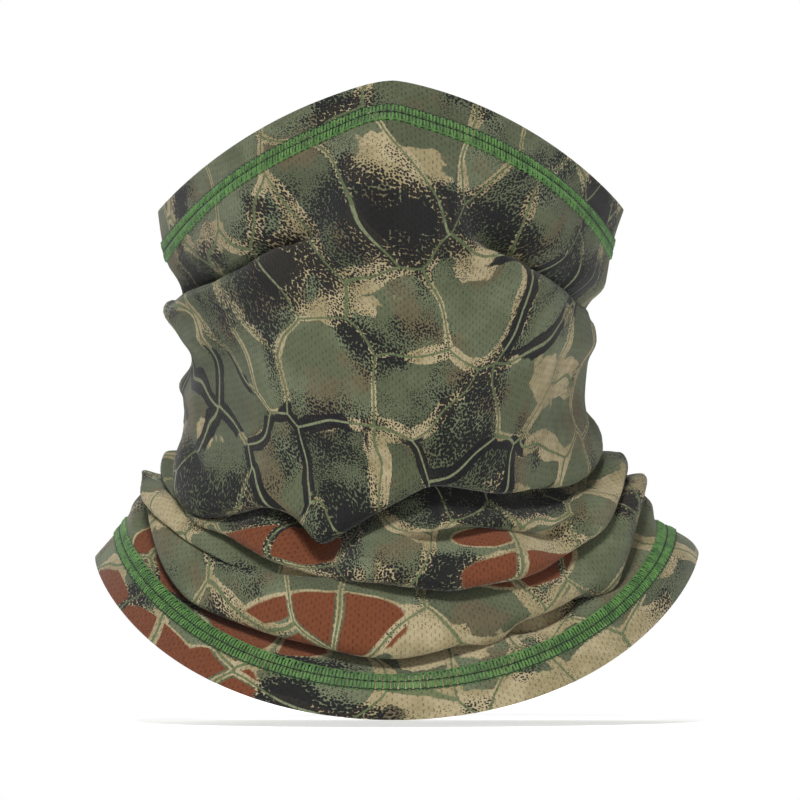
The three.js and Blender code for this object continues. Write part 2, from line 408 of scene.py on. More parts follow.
GATHERS: tuple[Crease, ...] = (
    Crease(
        "under_the_drape",
        (-180, -140, -110, -90, -72, -60, -50, -38, -30, -24, -19, -16,
         -12, -5, 2, 9, 17, 30, 48, 63, 90, 120, 150),
        (0.445, 0.43, 0.415, 0.4, 0.355, 0.33, 0.32, 0.335, 0.355, 0.345, 0.31, 0.295,
         0.315, 0.34, 0.36, 0.385, 0.385, 0.38, 0.38, 0.385, 0.405, 0.43, 0.445),
        0.0135, 0.0115, lip=0.0075, fade=0.0, bulge=0.0030, pocket=0.3,
    ),
    Crease(
        "drape_pocket",
        (-38, -30, -24, -19, -16, -12, -5, 2, 9, 17, 30, 48, 63, 78),
        (0.335, 0.355, 0.345, 0.31, 0.295, 0.315, 0.34, 0.36, 0.385, 0.385, 0.38, 0.38, 0.385, 0.39),
        0.0150, 0.0180, lip=0.0005, fade=16.0, pocket=0.85,
    ),
    Crease(
        "under_the_second_fold",
        (-8, 2, 15, 24, 32, 38, 44, 54),
        (0.29, 0.295, 0.31, 0.315, 0.3, 0.29, 0.295, 0.305),
        0.0105, 0.012, lip=0.0040, fade=18.0, bulge=0.0015, pocket=0.4,
    ),
    Crease(
        "upper_roll",
        (-180, -120, -90, -63, -51, -40, -26, -19, -12, 1, 12, 22, 33, 44, 54, 62, 72, 90, 120),
        (0.335, 0.33, 0.325, 0.305, 0.285, 0.285, 0.255, 0.25, 0.245, 0.225, 0.215, 0.225, 0.235,
         0.245, 0.26, 0.29, 0.31, 0.32, 0.335),
        0.0120, 0.0115, lip=0.0055, fade=0.0, bulge=0.0025, pocket=0.3,
    ),
    Crease(
        "lower_roll",
        (-180, -120, -90, -82, -69, -57, -46, -30, -22, -14, -6, 1, 8, 18, 30, 42, 53, 64, 76, 90, 120),
        (0.235, 0.25, 0.26, 0.255, 0.2, 0.165, 0.14, 0.145, 0.14, 0.135, 0.125, 0.12, 0.13,
         0.15, 0.165, 0.17, 0.16, 0.185, 0.22, 0.26, 0.25),
        0.0125, 0.015, lip=0.0080, fade=0.0, bulge=0.0025, pocket=0.4,
    ),
    Crease(
        "left_half_roll",
        (-85, -75, -60, -40, -24, -16, -2),
        (0.25, 0.25, 0.24, 0.23, 0.225, 0.23, 0.235),
        0.0075, 0.008, lip=0.0040, fade=18.0, bulge=0.0010,
    ),
    Crease(
        "right_tuck",
        (10, 20, 29, 36, 46, 60),
        (0.15, 0.145, 0.12, 0.125, 0.15, 0.16),
        0.0070, 0.009, lip=0.0050, fade=12.0,
    ),
    Crease(
        "left_cheek",
        (-118, -95, -64, -44, -34, -26, -21, -17, -15, -10, -8),
        (0.74, 0.77, 0.765, 0.745, 0.74, 0.75, 0.755, 0.76, 0.765, 0.775, 0.8),
        0.0085, 0.015, lip=-0.0060, fade=16.0, bulge=0.0030, pocket=0.5,
    ),
    Crease(
        "right_cheek",
        (11, 16, 23, 30, 36, 44, 53, 66, 90, 115),
        (0.785, 0.76, 0.745, 0.73, 0.725, 0.725, 0.715, 0.725, 0.705, 0.69),
        0.0085, 0.015, lip=-0.0060, fade=14.0, bulge=0.0030, pocket=0.5,
    ),
    Crease(
        "left_drape_1",
        (-84, -74, -58, -40, -25, -12),
        (0.67, 0.64, 0.57, 0.49, 0.425, 0.39),
        0.0028, 0.016, fade=26.0, softness=0.35,
    ),
    Crease(
        "left_drape_2",
        (-118, -88, -65, -45, -32, -20),
        (0.61, 0.575, 0.5, 0.425, 0.38, 0.355),
        0.0044, 0.013, fade=22.0, softness=0.3,
    ),
    Crease(
        "left_drape_3",
        (-118, -84, -70, -55, -42),
        (0.52, 0.485, 0.445, 0.385, 0.345),
        0.0042, 0.012, lip=0.002, fade=20.0, softness=0.2,
    ),
    Crease(
        "left_drape_4",
        (-120, -85, -70, -60),
        (0.47, 0.45, 0.4, 0.35),
        0.003, 0.010, lip=0.002, fade=20.0, softness=0.2,
    ),
    Crease(
        "right_drape_1",
        (30, 45, 60, 80, 100),
        (0.42, 0.455, 0.51, 0.59, 0.61),
        0.0028, 0.014, fade=20.0, softness=0.3,
    ),
    Crease(
        "right_drape_2",
        (36, 50, 65, 85, 110),
        (0.385, 0.405, 0.435, 0.48, 0.5),
        0.0034, 0.012, lip=0.002, fade=18.0, softness=0.2,
    ),
    Crease(
        "cowl",
        (-16, -4, 12, 30, 50, 66),
        (0.345, 0.37, 0.41, 0.41, 0.405, 0.4),
        0.0026, 0.010, fade=18.0, softness=0.25,
    ),
)


@dataclass(frozen=True)
class Swell:
    """A soft rise of the cloth, or a hollow where its height is below zero.

    Its middle and reaches are in degrees and in levels, and its height in metres.
    """

    angle: float
    level: float
    wide: float
    tall: float
    height: float

    def height_at(self, angle: Array, level: Array) -> Array:
        """Follow a bell curve in both directions.

        Args:
            angle: Angles from the front, in radians.
            level: Levels up the tube.

        Returns:
            Heights in metres.
        """
        across = (np.degrees(angle) - self.angle) / self.wide
        up = (level - self.level) / self.tall
        return self.height * np.exp(-(across**2) - up**2)


FACE_SWELLS: tuple[Swell, ...] = (
    # The ridge down the front's middle, then the hollows beside it.
    Swell(-2.0, 0.80, 5.5, 0.10, 0.0055),
    Swell(-3.0, 0.93, 7.0, 0.07, 0.0025),
    Swell(19.0, 0.83, 9.0, 0.06, -0.0060),
    Swell(-21.0, 0.83, 9.0, 0.06, -0.0050),
    # The broad swells over the mouth and the chin, and one under each cheek.
    Swell(0.0, 0.60, 22.0, 0.09, 0.0030),
    Swell(0.0, 0.45, 26.0, 0.06, 0.0035),
    Swell(-62.0, 0.655, 22.0, 0.035, 0.0035),
    Swell(62.0, 0.64, 22.0, 0.035, 0.0030),
    # The sides, first the one at minus ninety degrees.
    Swell(-90.0, 0.735, 38.0, 0.065, 0.0062),
    Swell(-90.0, 0.52, 38.0, 0.060, 0.0045),
    Swell(-90.0, 0.27, 34.0, 0.070, 0.0065),
    Swell(-90.0, 0.90, 40.0, 0.120, 0.0020),
    Swell(90.0, 0.90, 40.0, 0.120, -0.0020),
    Swell(90.0, 0.50, 38.0, 0.090, -0.0050),
    Swell(90.0, 0.27, 34.0, 0.065, 0.0055),
    Swell(90.0, 0.03, 40.0, 0.060, 0.0030),
    Swell(90.0, 0.14, 30.0, 0.030, -0.0020),
)


@dataclass(frozen=True)
class Ripples:
    """Small unevenness of soft cloth: many plane waves of seeded direction and phase, added up.

    Attributes:
        count: How many waves.
        wavelength: Their middling length, in metres.
        height: The usual size of their sum, in metres.
        seed: Of the random draws.
    """

    count: int = 40
    wavelength: float = 45.0 * MM
    height: float = 0.9 * MM
    seed: int = 5

    def height_at(self, points: Array) -> Array:
        """Add up the cosines, scaled so that their sum's usual size is the height.

        Args:
            points: Places on the cloth, in metres.

        Returns:
            Heights in metres.
        """
        dice = np.random.default_rng(self.seed)
        directions = unit(dice.normal(size=(self.count, 3)))
        sizes = TAU / (self.wavelength * dice.uniform(0.6, 1.6, self.count))
        phases = dice.uniform(0, TAU, self.count)
        waves = np.cos(points @ (directions * sizes[:, None]).T + phases)
        return self.height * waves.sum(axis=-1) * math.sqrt(2.0 / self.count)


# ---------------------------------------------------------------------------------------------
# Where the print's colours lie
# ---------------------------------------------------------------------------------------------


PATCH_FALL = 0.7  # about the natural logarithm of two


@dataclass(frozen=True)
class Patch:
    """A soft-edged oval area of the print.

    Its middle and reaches are in degrees and in levels, and its strength is from 0 to about 1.
    """

    angle: float
    level: float
    wide: float
    tall: float
    strength: float = 1.0

    def cover(self, angle: Array, level: Array) -> Array:
        """Fall as a bell from the strength at the middle to half of it at about the reach.

        Args:
            angle: Angles from the front, in radians.
            level: Levels up the tube.

        Returns:
            How much of each place the patch covers.
        """
        turned = np.mod(np.degrees(angle) - self.angle + 180, 360) - 180
        across = turned / self.wide
        up = (level - self.level) / self.tall
        return self.strength * np.exp(-PATCH_FALL * (across**2 + up**2))


class Ink(Enum):
    """The print's colours that cover areas of the cloth, by the name of each one's attribute."""

    BLACK = "black_area"
    RUST = "rust_area"
    TAN = "tan_area"
    OUTLINE = "outline_area"


FRONT_PATCHES: dict[Ink, tuple[Patch, ...]] = {
    Ink.BLACK: (
        Patch(62, 0.955, 15, 0.055),
        Patch(54, 0.78, 18, 0.065),
        Patch(-62, 0.79, 22, 0.045, 0.9),
        Patch(-24, 0.725, 20, 0.065, 0.92),
        Patch(-8, 0.805, 12, 0.060, 0.85),
        Patch(5, 0.765, 18, 0.060, 0.92),
        Patch(15, 0.44, 14, 0.055, 0.72),
        Patch(66, 0.26, 6, 0.020),
        Patch(72, 0.215, 7, 0.020),
        Patch(-4, 0.01, 8, 0.016, 0.8),
        Patch(60, 0.03, 5, 0.030, 0.55),
        Patch(-12, 0.965, 10, 0.030, 0.55),
        Patch(-61, 0.975, 4, 0.035, 0.8),
        Patch(-15, 0.455, 12, 0.060, 0.62),
        Patch(-8, 0.335, 16, 0.034, 0.68),
        Patch(30, 0.35, 24, 0.022, 0.9),
        Patch(-48, 0.365, 22, 0.045, 0.5),
        Patch(-4, 0.59, 5, 0.040, 0.5),
        Patch(-22, 0.86, 6, 0.040, 0.5),
        Patch(27, 0.79, 10, 0.045, 0.9),
        Patch(8, 0.245, 18, 0.022, 0.7),
        Patch(-84, 0.225, 10, 0.035, 0.9),
        Patch(-38, 0.225, 8, 0.020, 0.7),
        Patch(-37, 0.145, 6, 0.018, 0.7),
        Patch(-53, 0.11, 6, 0.020, 0.9),
        Patch(-14, 0.09, 8, 0.010, 0.7),
        Patch(-20, 0.02, 5, 0.026, 0.9),
    ),
    Ink.RUST: (
        Patch(-70, 0.02, 9, 0.036, 1.1),
        Patch(-50, 0.01, 11, 0.040, 1.1),
        Patch(-33, 0.02, 8, 0.038, 1.1),
        Patch(-66, 0.16, 7, 0.040, 1.1),
        Patch(-50, 0.125, 11, 0.034, 1.1),
        Patch(-28, 0.115, 14, 0.024, 1.1),
        Patch(-14, 0.17, 16, 0.030, 1.1),
        Patch(-27, 0.285, 15, 0.026),
        Patch(21, 0.29, 8, 0.018),
        Patch(29, 0.24, 16, 0.028),
    ),
    Ink.TAN: (
        Patch(-20, 0.745, 7, 0.060, 0.75),
        Patch(-6, 0.64, 11, 0.035, 0.7),
        Patch(5, 0.86, 10, 0.040, 0.9),
        Patch(13, 0.14, 14, 0.050, 0.95),
        Patch(16, 0.015, 16, 0.028, 0.95),
        Patch(36, 0.15, 14, 0.050, 0.75),
        Patch(68, 0.30, 14, 0.040, 0.9),
        Patch(48, 0.02, 14, 0.038, 0.9),
        Patch(-74, 0.05, 8, 0.040, 0.9),
        Patch(-42, 0.85, 14, 0.030, 0.65),
        Patch(16, 0.725, 6, 0.040, 0.7),
        Patch(-62, 0.265, 16, 0.030, 0.9),
        Patch(-14, 0.25, 14, 0.018, 0.8),
        Patch(40, 0.56, 9, 0.050, 0.8),
        Patch(30, 0.40, 10, 0.022, 0.8),
        Patch(2, 0.165, 8, 0.030, 0.8),
        Patch(40, 0.275, 16, 0.024, 0.8),
        Patch(-55, 0.44, 8, 0.040, 0.6),
    ),
    Ink.OUTLINE: (
        Patch(30, 0.665, 14, 0.080),
        Patch(-62, 0.52, 26, 0.110),
        Patch(-22, 0.43, 16, 0.070),
        Patch(48, 0.74, 18, 0.060),
        Patch(20, 0.40, 24, 0.060, 0.8),
    ),
}


@dataclass(frozen=True)
class Scatter:
    """Patches of one colour strewn over the back half of the tube, at about even turns.

    Attributes:
        count: How many patches.
        wide: Their middling reach round the tube, in degrees.
        tall: Their middling reach up it, in levels.
        seed: Of the random draws.
        turns: The first and last patch's angle, in degrees.
        play: How far a patch may lie from its even turn, in degrees.
        climb: From one patch's level to the next one's, before it starts again from the bottom.
        lowest: The lowest level.
        highest: The highest level.
    """

    count: int
    wide: float
    tall: float
    seed: int
    turns: tuple[float, float] = (104.0, 256.0)
    play: float = 6.0
    climb: float = 0.382
    lowest: float = 0.05
    highest: float = 0.95

    def patches(self) -> tuple[Patch, ...]:
        """Draw each patch's place, size and strength.

        Returns:
            The patches, from one side round the back to the other.
        """
        random = np.random.default_rng(self.seed)
        turns = np.linspace(*self.turns, self.count) + random.uniform(-self.play, self.play, self.count)
        climbed = np.arange(self.count) * self.climb + random.uniform(0, 0.2, self.count)
        levels = self.lowest + climbed % (self.highest - self.lowest)
        sizes = random.uniform(0.8, 1.2, self.count)
        strengths = random.uniform(0.7, 0.95, self.count)
        rows = np.stack([turns, levels, self.wide * sizes, self.tall * sizes, strengths], axis=1)
        return tuple(Patch(*row) for row in rows.tolist())


BACK_SCATTERS: dict[Ink, Scatter] = {
    Ink.BLACK: Scatter(14, 14.0, 0.058, 3),
    Ink.RUST: Scatter(7, 13.0, 0.045, 5),
    Ink.TAN: Scatter(10, 14.0, 0.055, 7),
    Ink.OUTLINE: Scatter(4, 23.0, 0.095, 9),
}


def print_cover(ink: Ink, angle: Array, level: Array) -> Array:
    """Take the strongest of a colour's patches at each place.

    Args:
        ink: The colour.
        angle: Angles from the front, in radians.
        level: Levels up the tube.

    Returns:
        How much of each place the colour covers.
    """
    patches = FRONT_PATCHES[ink] + BACK_SCATTERS[ink].patches()
    return np.max([patch.cover(angle, level) for patch in patches], axis=0)


# ---------------------------------------------------------------------------------------------
# The cloth
# ---------------------------------------------------------------------------------------------


@dataclass
class ClothPanel:
    """The printed knit: one sheet round the tube, with both ends turned in.

    Attributes:
        tube: The smooth tube under the creases.
        columns: Points round the tube.
        roll_rows: Rows of points over the rolls, which are closer together.
        face_rows: Rows of points over the face.
        split: Level at which the rolls' rows end and the face's begin.
        thickness: Of one ply, in metres.
        ply_gap: Between the plies of a hem, in metres.
        hem_rows: Distances of the rows near an end from that end, in millimetres.
        turning_rows: The same for the turned-in ply.
        fold_rows: Rows of points round a hem's folded edge.
        fan: How far the columns lean towards the front and the back, in radians.
        ripples: The small unevenness of the cloth.
        girth: Of the flat sheet, in metres.
        flat_length: Of the flat sheet, in metres. Not used.
        map_blur: How far the flat map is evened out, in columns.
        outer: The outer face's points, rows by columns.
        normals: The outward direction at each of them.
        upward: The direction up the cloth at each of them.
        angles: Each point's angle from the front, in radians.
        levels: Each point's level up the tube.
    """

    tube: WornTube = field(default_factory=WornTube)
    columns: int = 304
    roll_rows: int = 74
    face_rows: int = 42
    split: float = 0.43
    thickness: float = 0.55 * MM
    ply_gap: float = 0.10 * MM
    hem_rows: tuple[float, ...] = (0.8, 2.2, 4.0, 6.0, 8.0, 10.0, 11.6, 13.2, 14.8, 16.4, 18.0)
    turning_rows: tuple[float, ...] = (0.8, 3.0, 6.0, 9.0, 12.0, 15.0, 17.0)
    fold_rows: int = 5
    fan: float = 0.12
    ripples: Ripples = Ripples()
    girth: float = 0.50
    flat_length: float = 0.28
    map_blur: float = 16.0
    outer: Array = field(init=False)
    normals: Array = field(init=False)
    upward: Array = field(init=False)
    angles: Array = field(init=False)
    levels: Array = field(init=False)

    def set_levels(self, lengths: Array) -> Array:
        """Set each grid point's angle and level.

        Rows near the ends keep their distance from the end, and the others are even between
        them. Columns are even too, then lean by the sine of twice their angle, most at middle
        height.

        Args:
            lengths: Length of each of the tube's tabulated upright lines.

        Returns:
            How far each place is up the cloth between the hems, from 0 to 1.
        """
        start = np.linspace(-math.pi, math.pi, self.columns, endpoint=False)
        length = sample_table(np.tile(lengths, (2, 1)), start, np.zeros_like(start))
        low = np.array(self.hem_rows)[:, None] * MM / length
        high = 1 - low[::-1]
        roll_share = np.arange(1, self.roll_rows + 1)[:, None] / self.roll_rows
        face_share = np.arange(1, self.face_rows)[:, None] / self.face_rows
        rolls = low[-1] + (self.split - low[-1]) * roll_share
        face = self.split + (high[0] - self.split) * face_share
        self.levels = np.vstack([low, rolls, face, high])
        self.angles = start[None, :] - self.fan * np.sin(2 * start) * np.sin(math.pi * self.levels)
        return np.clip((self.levels - low[-1]) / (high[0] - low[-1]), 0, 1)

    def lay_out(self) -> None:
        """Place the outer face's grid, then move it by the face, the creases and the ripples."""
        radii, heights, lengths = self.tube.table()
        middle = np.sin(math.pi * self.set_levels(lengths))
        level, angle = self.levels, self.angles
        radius = sample_table(radii, angle, level)
        height = sample_table(heights, angle, level)
        length = sample_table(np.tile(lengths, (2, 1)), angle, np.zeros_like(angle))
        base = np.stack([radius * np.sin(angle), -radius * np.cos(angle), height], axis=-1)
        self.set_outer(base)
        swell = sum(item.height_at(angle, level) for item in FACE_SWELLS)
        self.set_outer(base + self.normals * swell[..., None])
        outward, along = self.crease_shifts(angle, level, length, radius)
        self.set_outer(self.outer + self.normals * outward[..., None] + self.upward * along[..., None])
        ripple = self.ripples.height_at(base) * middle
        self.set_outer(self.outer + self.normals * ripple[..., None])

    @staticmethod
    def crease_shifts(angle: Array, level: Array, length: Array, radius: Array) -> tuple[Array, Array]:
        """Join every crease: lips add up, and valleys join as the cube root of their cubes' sum.

        Args:
            angle: Angles from the front, in radians.
            level: Levels up the tube.
            length: Length of the upright line at each place.
            radius: Distance from the axis at each place.

        Returns:
            How far the cloth moves outward, and how far up along itself, in metres.
        """
        deep = np.zeros_like(angle)
        proud = np.zeros_like(angle)
        along = np.zeros_like(angle)
        for crease in GATHERS:
            inward, bulge, shift = crease.shift(angle, level, length, radius)
            deep += (inward / MM) ** 3
            proud += bulge
            along += shift
            LOG.info("crease %s: %.1f mm deep", crease.name, crease.depth / MM)
        return proud - np.cbrt(deep) * MM, along

    def set_outer(self, points: Array) -> None:
        """Keep the outer face's points, with the outward and upward directions at each.

        Upward is the step from row to row, and outward is square to that and to the step from
        column to column.

        Args:
            points: The points, rows by columns.
        """
        self.outer = points
        around = np.roll(points, -1, axis=1) - np.roll(points, 1, axis=1)
        self.upward = unit(np.gradient(points, axis=0))
        self.normals = unit(np.cross(around, self.upward))

    def sheet_points(self) -> Array:
        """Add to the outer face a fold and a turned end, at each of its ends.

        The fold is half a circle whose width is two plies and their gap, and the turned end
        lies that width behind the outer face.

        Returns:
            The whole sheet's points, rows by columns, from one turned end to the other.
        """
        bend = self.thickness + self.ply_gap / 2
        distances = np.array(self.hem_rows)
        turned = np.array(self.turning_rows)
        rows = np.interp(turned, distances, np.arange(len(distances)))
        last = len(self.outer) - 1
        ends = []
        for first, sign in ((0, 1), (last, -1)):
            places = self.at(np.arange(self.columns)[None, :], first + sign * rows[:, None], -2 * bend)
            edge, out, up = self.outer[first], self.normals[first], sign * self.upward[first]
            turns = math.pi * np.arange(1, self.fold_rows + 1)[:, None, None] / (self.fold_rows + 1)
            fold = edge - out * bend + out * bend * np.cos(turns) - up * bend * np.sin(turns)
            ends.append(np.concatenate([places[::-1], fold[::-1]]))
        return np.concatenate([ends[0], self.outer, ends[1][::-1]])

    def at(self, column: Array, row: Array, lift: Array | float) -> Array:
        """Points over the outer face.

        Args:
            column: Column numbers, which may be fractions and wrap round.
            row: Row numbers of the outer face, which may be fractions.
            lift: Height over the face, in metres.

        Returns:
            Places, with the face read in straight lines between its points.
        """
        column, row, lift = np.broadcast_arrays(column, row, lift)
        row = np.clip(row, 0, len(self.outer) - 1)
        i = np.minimum(row.astype(int), len(self.outer) - 2)
        j = np.floor(column).astype(int)
        s, t = (row - i)[..., None], (column - j)[..., None]
        j, k = j % self.columns, (j + 1) % self.columns

        def read(values: Array) -> Array:
            """Blend the four grid values round each place.

            Args:
                values: A vector for each grid point.

            Returns:
                A vector for each place.
            """
            low = values[i, j] * (1 - t) + values[i, k] * t
            high = values[i + 1, j] * (1 - t) + values[i + 1, k] * t
            return low * (1 - s) + high * s

        return read(self.outer) + unit(read(self.normals)) * lift[..., None]

    def cloth_map(self, points: Array) -> Array:
        """Find each point's place on the flat cloth.

        Round the tube it is the column's share of the girth, and up it the distance travelled
        from the lower turned end, so that the knit and the print keep their size in folds.
        A bell blur round the tube evens out the distances.

        Args:
            points: The whole sheet's points, rows by columns.

        Returns:
            Two numbers in metres for each point, with one more column that closes the tube.
        """
        steps = np.linalg.norm(np.diff(points, axis=0), axis=2)
        up = np.vstack([np.zeros(self.columns), np.cumsum(steps, axis=0)])
        spread = np.arange(self.columns)
        spread = np.minimum(spread, self.columns - spread)
        kernel = np.exp(-((spread / self.map_blur) ** 2))
        blurred = np.fft.ifft(np.fft.fft(up, axis=1) * np.fft.fft(kernel / kernel.sum()), axis=1).real
        up = np.concatenate([blurred, blurred[:, :1]], axis=1)
        across = np.linspace(0, self.girth, self.columns + 1)
        return np.stack([np.broadcast_to(across, up.shape), up], axis=-1)

    def dress(self, panel: bpy.types.Object, points: Array) -> None:
        """Give the sheet its flat map and the numbers that place the print's colours.

        Args:
            panel: The sheet.
            points: Its points, rows by columns.
        """
        places = self.cloth_map(points)
        rows, columns = len(points), self.columns
        low = np.arange(rows - 1)[:, None] * np.ones(columns, dtype=int)
        left = np.arange(columns)[None, :] * np.ones(rows - 1, dtype=int)[:, None]
        corners = [
            places[low, left],
            places[low, left + 1],
            places[low + 1, left + 1],
            places[low + 1, left],
        ]
        chart = panel.data.uv_layers.new(name="cloth")
        chart.data.foreach_set("uv", np.stack(corners, axis=2).astype(np.float32).ravel())
        ends = (rows - len(self.outer)) // 2
        level = np.pad(self.levels, ((ends, ends), (0, 0)), mode="reflect")
        angle = np.pad(self.angles, ((ends, ends), (0, 0)), mode="reflect")
        for ink in Ink:
            carried = panel.data.attributes.new(ink.value, "FLOAT", "POINT")
            carried.data.foreach_set("value", print_cover(ink, angle, level).astype(np.float32).ravel())

    def build(self, finishes: "ClothFinishes") -> bpy.types.Object:
        """Make the sheet as an object with its thickness and both of its faces.

        Args:
            finishes: The materials of the printed face and of the reverse.

        Returns:
            The finished panel.
        """
        self.lay_out()
        points = self.sheet_points()
        faces = grid_faces(len(points), self.columns, False, True)
        panel = mesh_object("knit_panel", points.reshape(-1, 3), faces)
        self.dress(panel, points)
        panel.data.materials.append(finishes.face)
        panel.data.materials.append(finishes.reverse)
        wall = panel.modifiers.new("thickness", "SOLIDIFY")
        wall.thickness = self.thickness
        wall.offset = -1.0
        wall.material_offset = 1
        wall.material_offset_rim = 1
        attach(panel, "root")
        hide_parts("fabric_panel")
        LOG.info("%s: %d faces", panel.name, len(faces))
        return panel


# ---------------------------------------------------------------------------------------------
# Stitching
# ---------------------------------------------------------------------------------------------


class Side(Enum):
    """Which end of the tube a hem is at."""

    TOP = "top"
    BOTTOM = "bottom"


@dataclass
class StitchLine:
    """A line on the cloth that stitches follow, with places beside and above it.

    Attributes:
        panel: The cloth.
        closed: Whether the line comes back to its start.
        length: The line's length along the cloth, in metres.
    """

    panel: ClothPanel
    closed: bool = field(init=False)
    length: float = field(init=False)

    def place(self, along: Array, across: Array, lift: Array | float) -> Array:
        """Points a distance along the line, beside it and over the cloth."""
        raise NotImplementedError


@dataclass
class HemLine(StitchLine):
    """A ring round the tube.

    Attributes:
        side: Which end of the tube it is near.
        distance: From that end, in metres.
        travelled: Distance along the ring at each column.
    """

    side: Side
    distance: float
    travelled: Array = field(init=False)

    def __post_init__(self) -> None:
        """Measure the ring, so that a distance along it gives a column."""
        self.closed = True
        columns = np.arange(self.panel.columns + 1)
        ring = self.panel.at(columns, self.row_at(np.zeros(len(columns))), 0.0)
        steps = np.linalg.norm(np.diff(ring, axis=0), axis=1)
        self.travelled = np.concatenate([[0.0], np.cumsum(steps)])
        self.length = float(self.travelled[-1])

    def row_at(self, across: Array) -> Array:
        """Find the row of the outer face for a distance across the band.

        Args:
            across: Distances beside the ring, away from the tube's end.

        Returns:
            Row numbers, which may be fractions.
        """
        distances = self.panel.hem_rows
        rows = np.interp((self.distance + across) / MM, distances, np.arange(len(distances)))
        return rows if self.side is Side.BOTTOM else len(self.panel.outer) - 1 - rows

    def place(self, along: Array, across: Array, lift: Array | float) -> Array:
        """Points on the ring: the column comes from the distance along, the row from that across."""
        column = np.interp(np.mod(along, self.length), self.travelled, np.arange(self.panel.columns + 1))
        return self.panel.at(column, self.row_at(across), lift)


@dataclass
class BackLine(StitchLine):
    """A line up the middle of the back, between the two hems' bands.

    Attributes:
        inset: From each end of the tube to the line's end, in metres.
        travelled: Distance up the cloth at each row.
        spacing: From the back's column to the next, at each row.
    """

    inset: float
    travelled: Array = field(init=False)
    spacing: Array = field(init=False)

    def __post_init__(self) -> None:
        """Measure the line, so that a distance along it gives a row."""
        self.closed = False
        rows = np.arange(len(self.panel.outer))
        points = self.panel.at(np.zeros(len(rows)), rows, 0.0)
        steps = np.linalg.norm(np.diff(points, axis=0), axis=1)
        self.travelled = np.concatenate([[0.0], np.cumsum(steps)])
        self.length = float(self.travelled[-1]) - 2 * self.inset
        self.spacing = np.linalg.norm(self.panel.at(np.full(len(rows), 1), rows, 0.0) - points, axis=1)

    def place(self, along: Array, across: Array, lift: Array | float) -> Array:
        """Find points: the row comes from the distance along, the column from that across.

        Args:
            along: Distance up the line.
            across: Distance beside it.
            lift: Height over the cloth.

        Returns:
            Places, in metres.
        """
        rows = np.arange(len(self.panel.outer))
        row = np.interp(along + self.inset, self.travelled, rows)
        return self.panel.at(across / np.interp(row, rows, self.spacing), row, lift)


@dataclass(frozen=True)
class Thread:
    """A sewing thread: round, or pressed flat, and closed at its ends.

    Attributes:
        radius: Of its section, in metres.
        sides: Points round its section.
        flatness: Its height as a share of its width.
        probe: How far over the cloth its outward direction is measured, in metres.
    """

    radius: float
    sides: int = 6
    flatness: float = 1.0
    probe: float = 0.5 * MM

    def sweep(
        self, name: str, line: StitchLine, along: Array, across: Array, lift: Array
    ) -> bpy.types.Object:
        """Carry the thread's section, a circle pressed by its flatness, along a path.

        Args:
            name: The piece's name.
            line: The line that the path follows.
            along: Distance along the line of each point of the path.
            across: Distance beside it.
            lift: Height over the cloth.

        Returns:
            The thread as one closed tube.
        """
        centres = line.place(along, across, lift)
        outward = unit(line.place(along, across, lift + self.probe) - centres)
        if line.closed:
            forward = unit(np.roll(centres, -1, axis=0) - np.roll(centres, 1, axis=0))
        else:
            forward = unit(np.gradient(centres, axis=0))
        sideways = unit(np.cross(forward, outward))
        upright = np.cross(sideways, forward)
        turn = TAU * np.arange(self.sides) / self.sides
        rise = self.flatness * np.sin(turn)
        circle = np.cos(turn)[None, :, None] * sideways[:, None] + rise[None, :, None] * upright[:, None]
        size = np.full(len(centres), self.radius)
        if not line.closed:
            size[[0, -1]] = 0.0
        points = centres[:, None] + circle * size[:, None, None]
        faces = grid_faces(len(centres), self.sides, line.closed, True)
        piece = mesh_object(name, points.reshape(-1, 3), faces[:, ::-1])
        if not line.closed:
            close_poles(piece)
        return piece


def close_poles(piece: bpy.types.Object) -> None:
    """Merge the points of a piece that lie on each other, such as a tube's pinched end.

    Args:
        piece: The piece, whose mesh is changed.
    """
    shell = bmesh.new()
    shell.from_mesh(piece.data)
    bmesh.ops.remove_doubles(shell, verts=shell.verts, dist=1e-7)
    shell.to_mesh(piece.data)
    shell.free()


